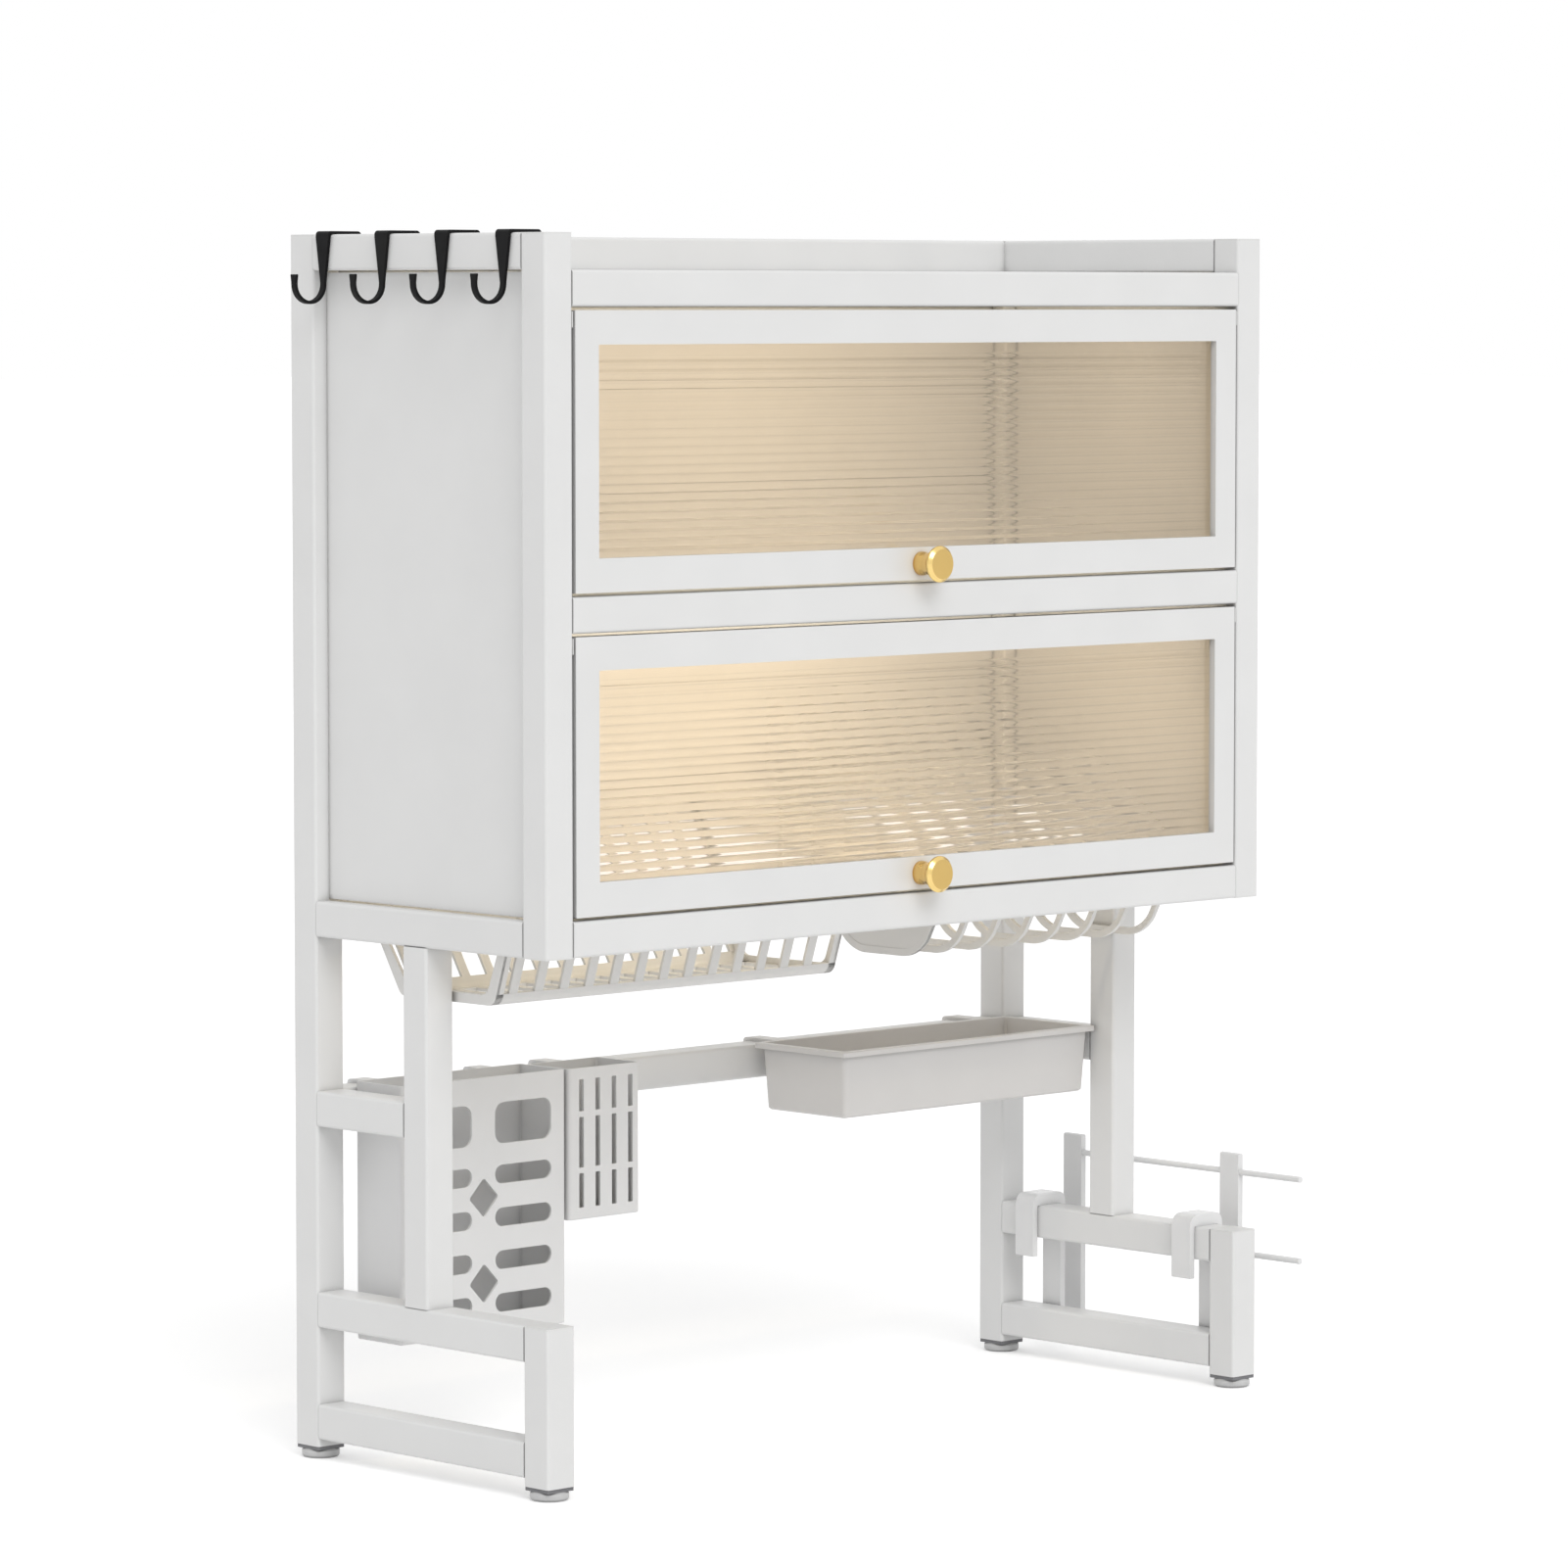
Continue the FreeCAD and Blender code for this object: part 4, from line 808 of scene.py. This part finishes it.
# The boxes on the leg crossbar. Thin moulded boxes, open at the top, with straps that reach over the
# bar. The wide one's front is pierced by windows, pills and diamonds, the narrow one's is a grille.
box_white = (0.79, 0.79, 0.79)
box_wall = 2 * mm
strap_width = 16 * mm
strap_thickness = 3 * mm
strap_drop = 20 * mm
strap_lap = 6 * mm
strap_bend = 3.5 * mm
strap_sink = 0.2 * mm
bar_clearance = 0.3 * mm
floor_bend = 1.5 * mm
box_edge = 0.5 * mm
box_plastic = finish(
    "box_plastic",
    box_white,
    darker(box_white, 0.97),
    smooth=0.38,
    rough=0.5,
    grain_size=0.6 * mm,
    grain_depth=0.012 * mm,
)


def walls(name, mesh, thickness, material, body):
    """Gives a sheet its thickness, on the side that its faces turn away from."""
    thing = make(name, mesh, material, box_edge)
    wall = thing.modifiers.new("wall", "SOLIDIFY")
    wall.thickness = thickness
    wall.offset = -1
    wall.use_even_offset = True
    thing.modifiers.move(len(thing.modifiers) - 1, 0)
    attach(thing, body)
    return thing


def pierced_box(node, body, low, high, holes, bend):
    """An open box with rounded upright edges; its front carries the holes."""
    mesh = bmesh.new()
    bar(mesh, low, high)
    upright = [edge for edge in mesh.edges if abs(edge.verts[0].co.z - edge.verts[1].co.z) > 1 * mm]
    bmesh.ops.bevel(
        mesh, geom=upright, offset=bend, affect="EDGES", segments=6, profile=0.5, material=-1
    )
    tops = [face for face in mesh.faces if face.normal.z > 0.9]
    front = min(mesh.faces, key=lambda face: face.calc_center_median().y)
    edges = front.edges[:]
    bmesh.ops.delete(mesh, geom=[*tops, front], context="FACES_ONLY")
    for hole in holes:
        edges += loop(mesh, rounded(hole, lambda across, up: Vector((across, low.y, up))))
    bmesh.ops.triangle_fill(mesh, edges=edges, use_beauty=True)
    floor = [face for face in mesh.faces if face.normal.z < -0.9]
    foot = list({edge for face in floor for edge in face.edges})
    bmesh.ops.bevel(
        mesh, geom=foot, offset=floor_bend, affect="EDGES", segments=3, profile=0.5, material=-1
    )
    thing = walls(f"{node}_shell", mesh, box_wall, box_plastic, body)
    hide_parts(node)


def crossbar_faces():
    """Where the front, the top and the rear of the crossbar are, for what hangs on it."""
    low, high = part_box("leg_crossbar")
    return low.y - bar_clearance, high.z, high.y + bar_clearance


def over_the_bar(mesh, x, start, top):
    """A strap from the top of a rear wall over the crossbar and down behind it."""
    bar_face, bar_top, back = crossbar_faces()
    run = [
        (start, bar_top - strap_lap, 0),
        (start, top, 2 * mm),
        (back + strap_thickness, top, strap_bend),
        (back + strap_thickness, bar_top - strap_drop, 1 * mm),
        (back, bar_top - strap_drop, 0.5 * mm),
        (back, bar_top, 1 * mm),
        (bar_face, bar_top, 0.5 * mm),
        (bar_face, bar_top - strap_lap, 0),
    ]
    cut_sheet(mesh, "x", [run], x, x + strap_width)


def knife_holes(left, top):
    """Two columns, each a window over four pills, and two diamonds between the columns."""
    window = (33, 37.5, 9)
    pills = [(15, 78.5 + row * 34.3, 7.45) for row in range(4)]
    half_width = 30 * mm
    holes = []
    for column in (44.5, 129):
        x = left + column * mm
        for tall, drop, radius in (window, *pills):
            z = top - drop * mm
            half_height = tall / 2 * mm
            low_z, high_z = z - half_height, z + half_height
            holes.append(panel_outline(x - half_width, low_z, x + half_width, high_z, radius * mm))
    x = left + 87 * mm
    reach, rise, point = 15.5 * mm, 16 * mm, 2.5 * mm
    for drop in (95.65, 164.25):
        z = top - drop * mm
        corners = ((x - reach, z), (x, z - rise), (x + reach, z), (x, z + rise))
        holes.append([(*corner, point) for corner in corners])
    return holes


def grille_holes(left, top):
    """Four columns of three slots."""
    half_width, radius = 2.6 * mm, 0.9 * mm
    holes = []
    for column in range(4):
        x = left + (14 + column * 17.8) * mm
        for tall, drop in ((26, 9), (41, 39.5), (28, 85)):
            z = top - drop * mm
            holes.append(panel_outline(x - half_width, z - tall * mm, x + half_width, z, radius))
    return holes


def box_on_the_bar(node, rise, holes, strap_places, bend):
    """A pierced box whose rear wall lies against the crossbar, and the straps that hang it there."""
    low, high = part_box(node)
    rear, bar_top, _ = crossbar_faces()
    top = bar_top + rise
    pierced_box(node, f"{node}_body", low, Vector((high.x, rear, top)), holes(low.x, top), bend)
    mesh = bmesh.new()
    for place in strap_places:
        start = rear - box_wall + strap_sink
        over_the_bar(mesh, low.x + place, start, bar_top + strap_thickness)
    straps = make(f"{node}_straps", mesh, box_plastic)
    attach(straps, f"{node}_body")


box_on_the_bar("knife_box", 5 * mm, knife_holes, (18 * mm, 140 * mm), 2.5 * mm)
box_on_the_bar("chopstick_basket", 4 * mm, grille_holes, (31 * mm,), 4 * mm)

# The sponge tray. A shallow moulded tray whose walls flare a little and turn out into a folded lip;
# two straps hang it on the same bar.
tray_grey = (0.72, 0.705, 0.69)
tray_wall = 2 * mm
tray_plastic = finish(
    "tray_plastic",
    tray_grey,
    darker(tray_grey, 0.97),
    smooth=0.36,
    rough=0.46,
    grain_size=0.6 * mm,
    grain_depth=0.012 * mm,
)


def sponge_tray():
    """The inner side, from the floor up the wall and over the lip, whose wall grows outwards."""
    low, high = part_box("sponge_tray")
    rear = low.y + 108 * mm
    mesh = bmesh.new()
    rings = []
    wall_and_lip = ((10.8, -54), (10, -53.3), (7, -0.8), (6.4, 0), (0.7, 0), (0, -0.7), (0, -4.5))
    for inset, height in wall_and_lip:
        outline = panel_outline(
            low.x + inset * mm,
            low.y + inset * mm,
            high.x - inset * mm,
            rear - inset * mm,
            (4 - inset / 4) * mm,
        )
        level = high.z + height * mm
        rings.append(loop(mesh, rounded(outline, lambda across, up: Vector((across, up, level)))))
    for lower, upper in zip(rings, rings[1:]):
        bmesh.ops.bridge_loops(mesh, edges=lower + upper)
    bmesh.ops.holes_fill(mesh, edges=rings[0])
    tray = walls("tray_shell", mesh, tray_wall, tray_plastic, "sponge_tray_body")
    floor = min(tray.data.polygons, key=lambda face: face.center.z)
    if floor.normal.z < 0:
        tray.data.flip_normals()
    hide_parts("sponge_tray")
    mesh = bmesh.new()
    for place in (24 * mm, 261 * mm):
        over_the_bar(mesh, low.x + place, rear - 1 * mm, high.z)
    straps = make("tray_straps", mesh, tray_plastic)
    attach(straps, "sponge_tray_body")


sponge_tray()

# The board holder. Two glossy moulded straps hooked over the right foot rail, turned up again at
# some distance outside it, and joined there by two wires.
holder_strap_width = 21 * mm
holder_strap_places = (68 * mm, 251 * mm)
holder_wire = 2.6 * mm
holder_wire_heights = (105 * mm, 174 * mm)
holder_edge = 1.3 * mm
holder_plastic = finish(
    "holder_plastic",
    (0.81, 0.81, 0.81),
    (0.79, 0.79, 0.79),
    smooth=0.14,
    rough=0.2,
    grain_size=2 * mm,
    grain_depth=0.006 * mm,
)


def board_holder():
    low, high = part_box("board_holder")
    left = low.x + 6 * mm

    def at(x, z, radius):
        """A corner in millimetres from the foot rail's inner face and from the floor."""
        return (left + x * mm, z * mm, radius * mm)

    strap = [
        at(-0.3, 89, 1),
        at(-6, 89, 1),
        at(-6, 143, 10),
        at(34, 143, 8),
        at(34, 30.7, 4),
        at(54, 30.7, 4),
        at(54, 190, 2),
        at(59.7, 190, 2),
        at(59.7, 25, 8),
        at(28.3, 25, 2),
        at(28.3, 133, 1),
        at(-0.3, 133, 1),
    ]
    mesh = bmesh.new()
    for place in holder_strap_places:
        start = low.y + place
        cut_sheet(mesh, "y", [strap], start, start + holder_strap_width)
    lying = Euler((math.radians(90), 0, 0)).to_matrix()
    for z in holder_wire_heights:
        wire = bmesh.ops.create_cone(
            mesh,
            cap_ends=True,
            segments=24,
            radius1=holder_wire,
            radius2=holder_wire,
            depth=high.y - low.y,
        )["verts"]
        bmesh.ops.rotate(mesh, verts=wire, cent=(0, 0, 0), matrix=lying)
        middle = Vector((left + 56.85 * mm, (low.y + high.y) / 2, z))
        bmesh.ops.translate(mesh, verts=wire, vec=middle)
    return make("board_rest", mesh, holder_plastic, holder_edge)


fit(board_holder(), "board_holder_body", "gloss_white_plastic", "board_holder")

# The utensil hooks. Flat steel strap bent over the left top rail: a short lip inside, and outside a
# long leg that narrows down to an open hook. Matte black coat.
hook_black = finish(
    "hook_black",
    (0.006, 0.006, 0.007),
    (0.01, 0.01, 0.01),
    smooth=0.5,
    rough=0.62,
    grain_size=0.6 * mm,
    grain_depth=0.02 * mm,
)
hook_black.node_tree.nodes["Principled BSDF"].inputs["Specular IOR Level"].default_value = 0.12
hook_tip_share = 0.32
hook_edge = 0.5 * mm


def utensil_hook(node):
    low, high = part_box(node)
    right, top = high.x, high.z

    def at(x, z, radius):
        """A corner in millimetres from where the rail's outer and upper faces meet."""
        return (right - (30.8 - x) * mm, top - (2.5 - z) * mm, radius * mm)

    profile = [
        at(28.3, -14, 0.5),
        at(30.8, -14, 0.5),
        at(30.8, 2.5, 3.2),
        at(-2.8, 2.5, 3.2),
        at(-2.8, -51.5, 13.25),
        at(-29.5, -51.5, 13.25),
        at(-29.5, -31, 0.8),
        at(-32, -31, 0.8),
        at(-32, -54, 15.75),
        at(-0.3, -54, 15.75),
        at(-0.3, 0.1, 0.3),
        at(28.3, 0.1, 0.3),
    ]
    mesh = bmesh.new()
    cut_sheet(mesh, "y", [profile], low.y, high.y)
    shoulder, bend = top - 5 * mm, top - 40 * mm
    for level in (shoulder, bend):
        geometry = mesh.verts[:] + mesh.edges[:] + mesh.faces[:]
        bmesh.ops.bisect_plane(mesh, geom=geometry, plane_co=(0, 0, level), plane_no=(0, 0, 1))
    middle = (low.y + high.y) / 2
    for vert in mesh.verts:
        if vert.co.x < right - 10 * mm:
            share = min(max((shoulder - vert.co.z) / (shoulder - bend), 0), 1)
            vert.co.y = middle + (vert.co.y - middle) * (1 - share * (1 - hook_tip_share))
    return make(f"{node}_strap", mesh, hook_black, hook_edge)


for i in range(1, 5):
    name = f"utensil_hook_{i}"
    fit(utensil_hook(name), f"{name}_body", "black_coat", name)

# The feet. Round moulded pads on studs, screwed into dark plastic plugs that are pressed into the
# ends of the posts, so that the rack can be levelled.
foot_grey = (0.6, 0.6, 0.6)
foot_profile = (
    (0, 0, 0),
    (13.6, 0, 0.8),
    (15, 1.6, 1.2),
    (15, 5.6, 1),
    (13, 7, 0.6),
    (4, 7, 0),
    (4, 24, 0),
    (0, 24, 0),
)
foot_plastic = finish(
    "foot_plastic",
    foot_grey,
    darker(foot_grey, 0.95),
    smooth=0.3,
    rough=0.42,
    grain_size=0.8 * mm,
    grain_depth=0.01 * mm,
)
plug_plastic = finish(
    "plug_plastic",
    (0.2, 0.2, 0.21),
    (0.17, 0.17, 0.18),
    smooth=0.4,
    rough=0.52,
    grain_size=0.8 * mm,
    grain_depth=0.01 * mm,
)
coat("foot_inserts", plug_plastic)
for side in sides:
    for end in ("front", "rear"):
        node = f"{side}_{end}_foot"
        low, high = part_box(node)
        mesh = bmesh.new()
        centre = Vector(((low.x + high.x) / 2, (low.y + high.y) / 2, low.z))
        turned(mesh, foot_profile, centre, (0, 0, 1), Vector((0, 0, 1)))
        fit(make(f"{node}_pad", mesh, foot_plastic, 0), f"{node}_body", "foot_plastic", node)
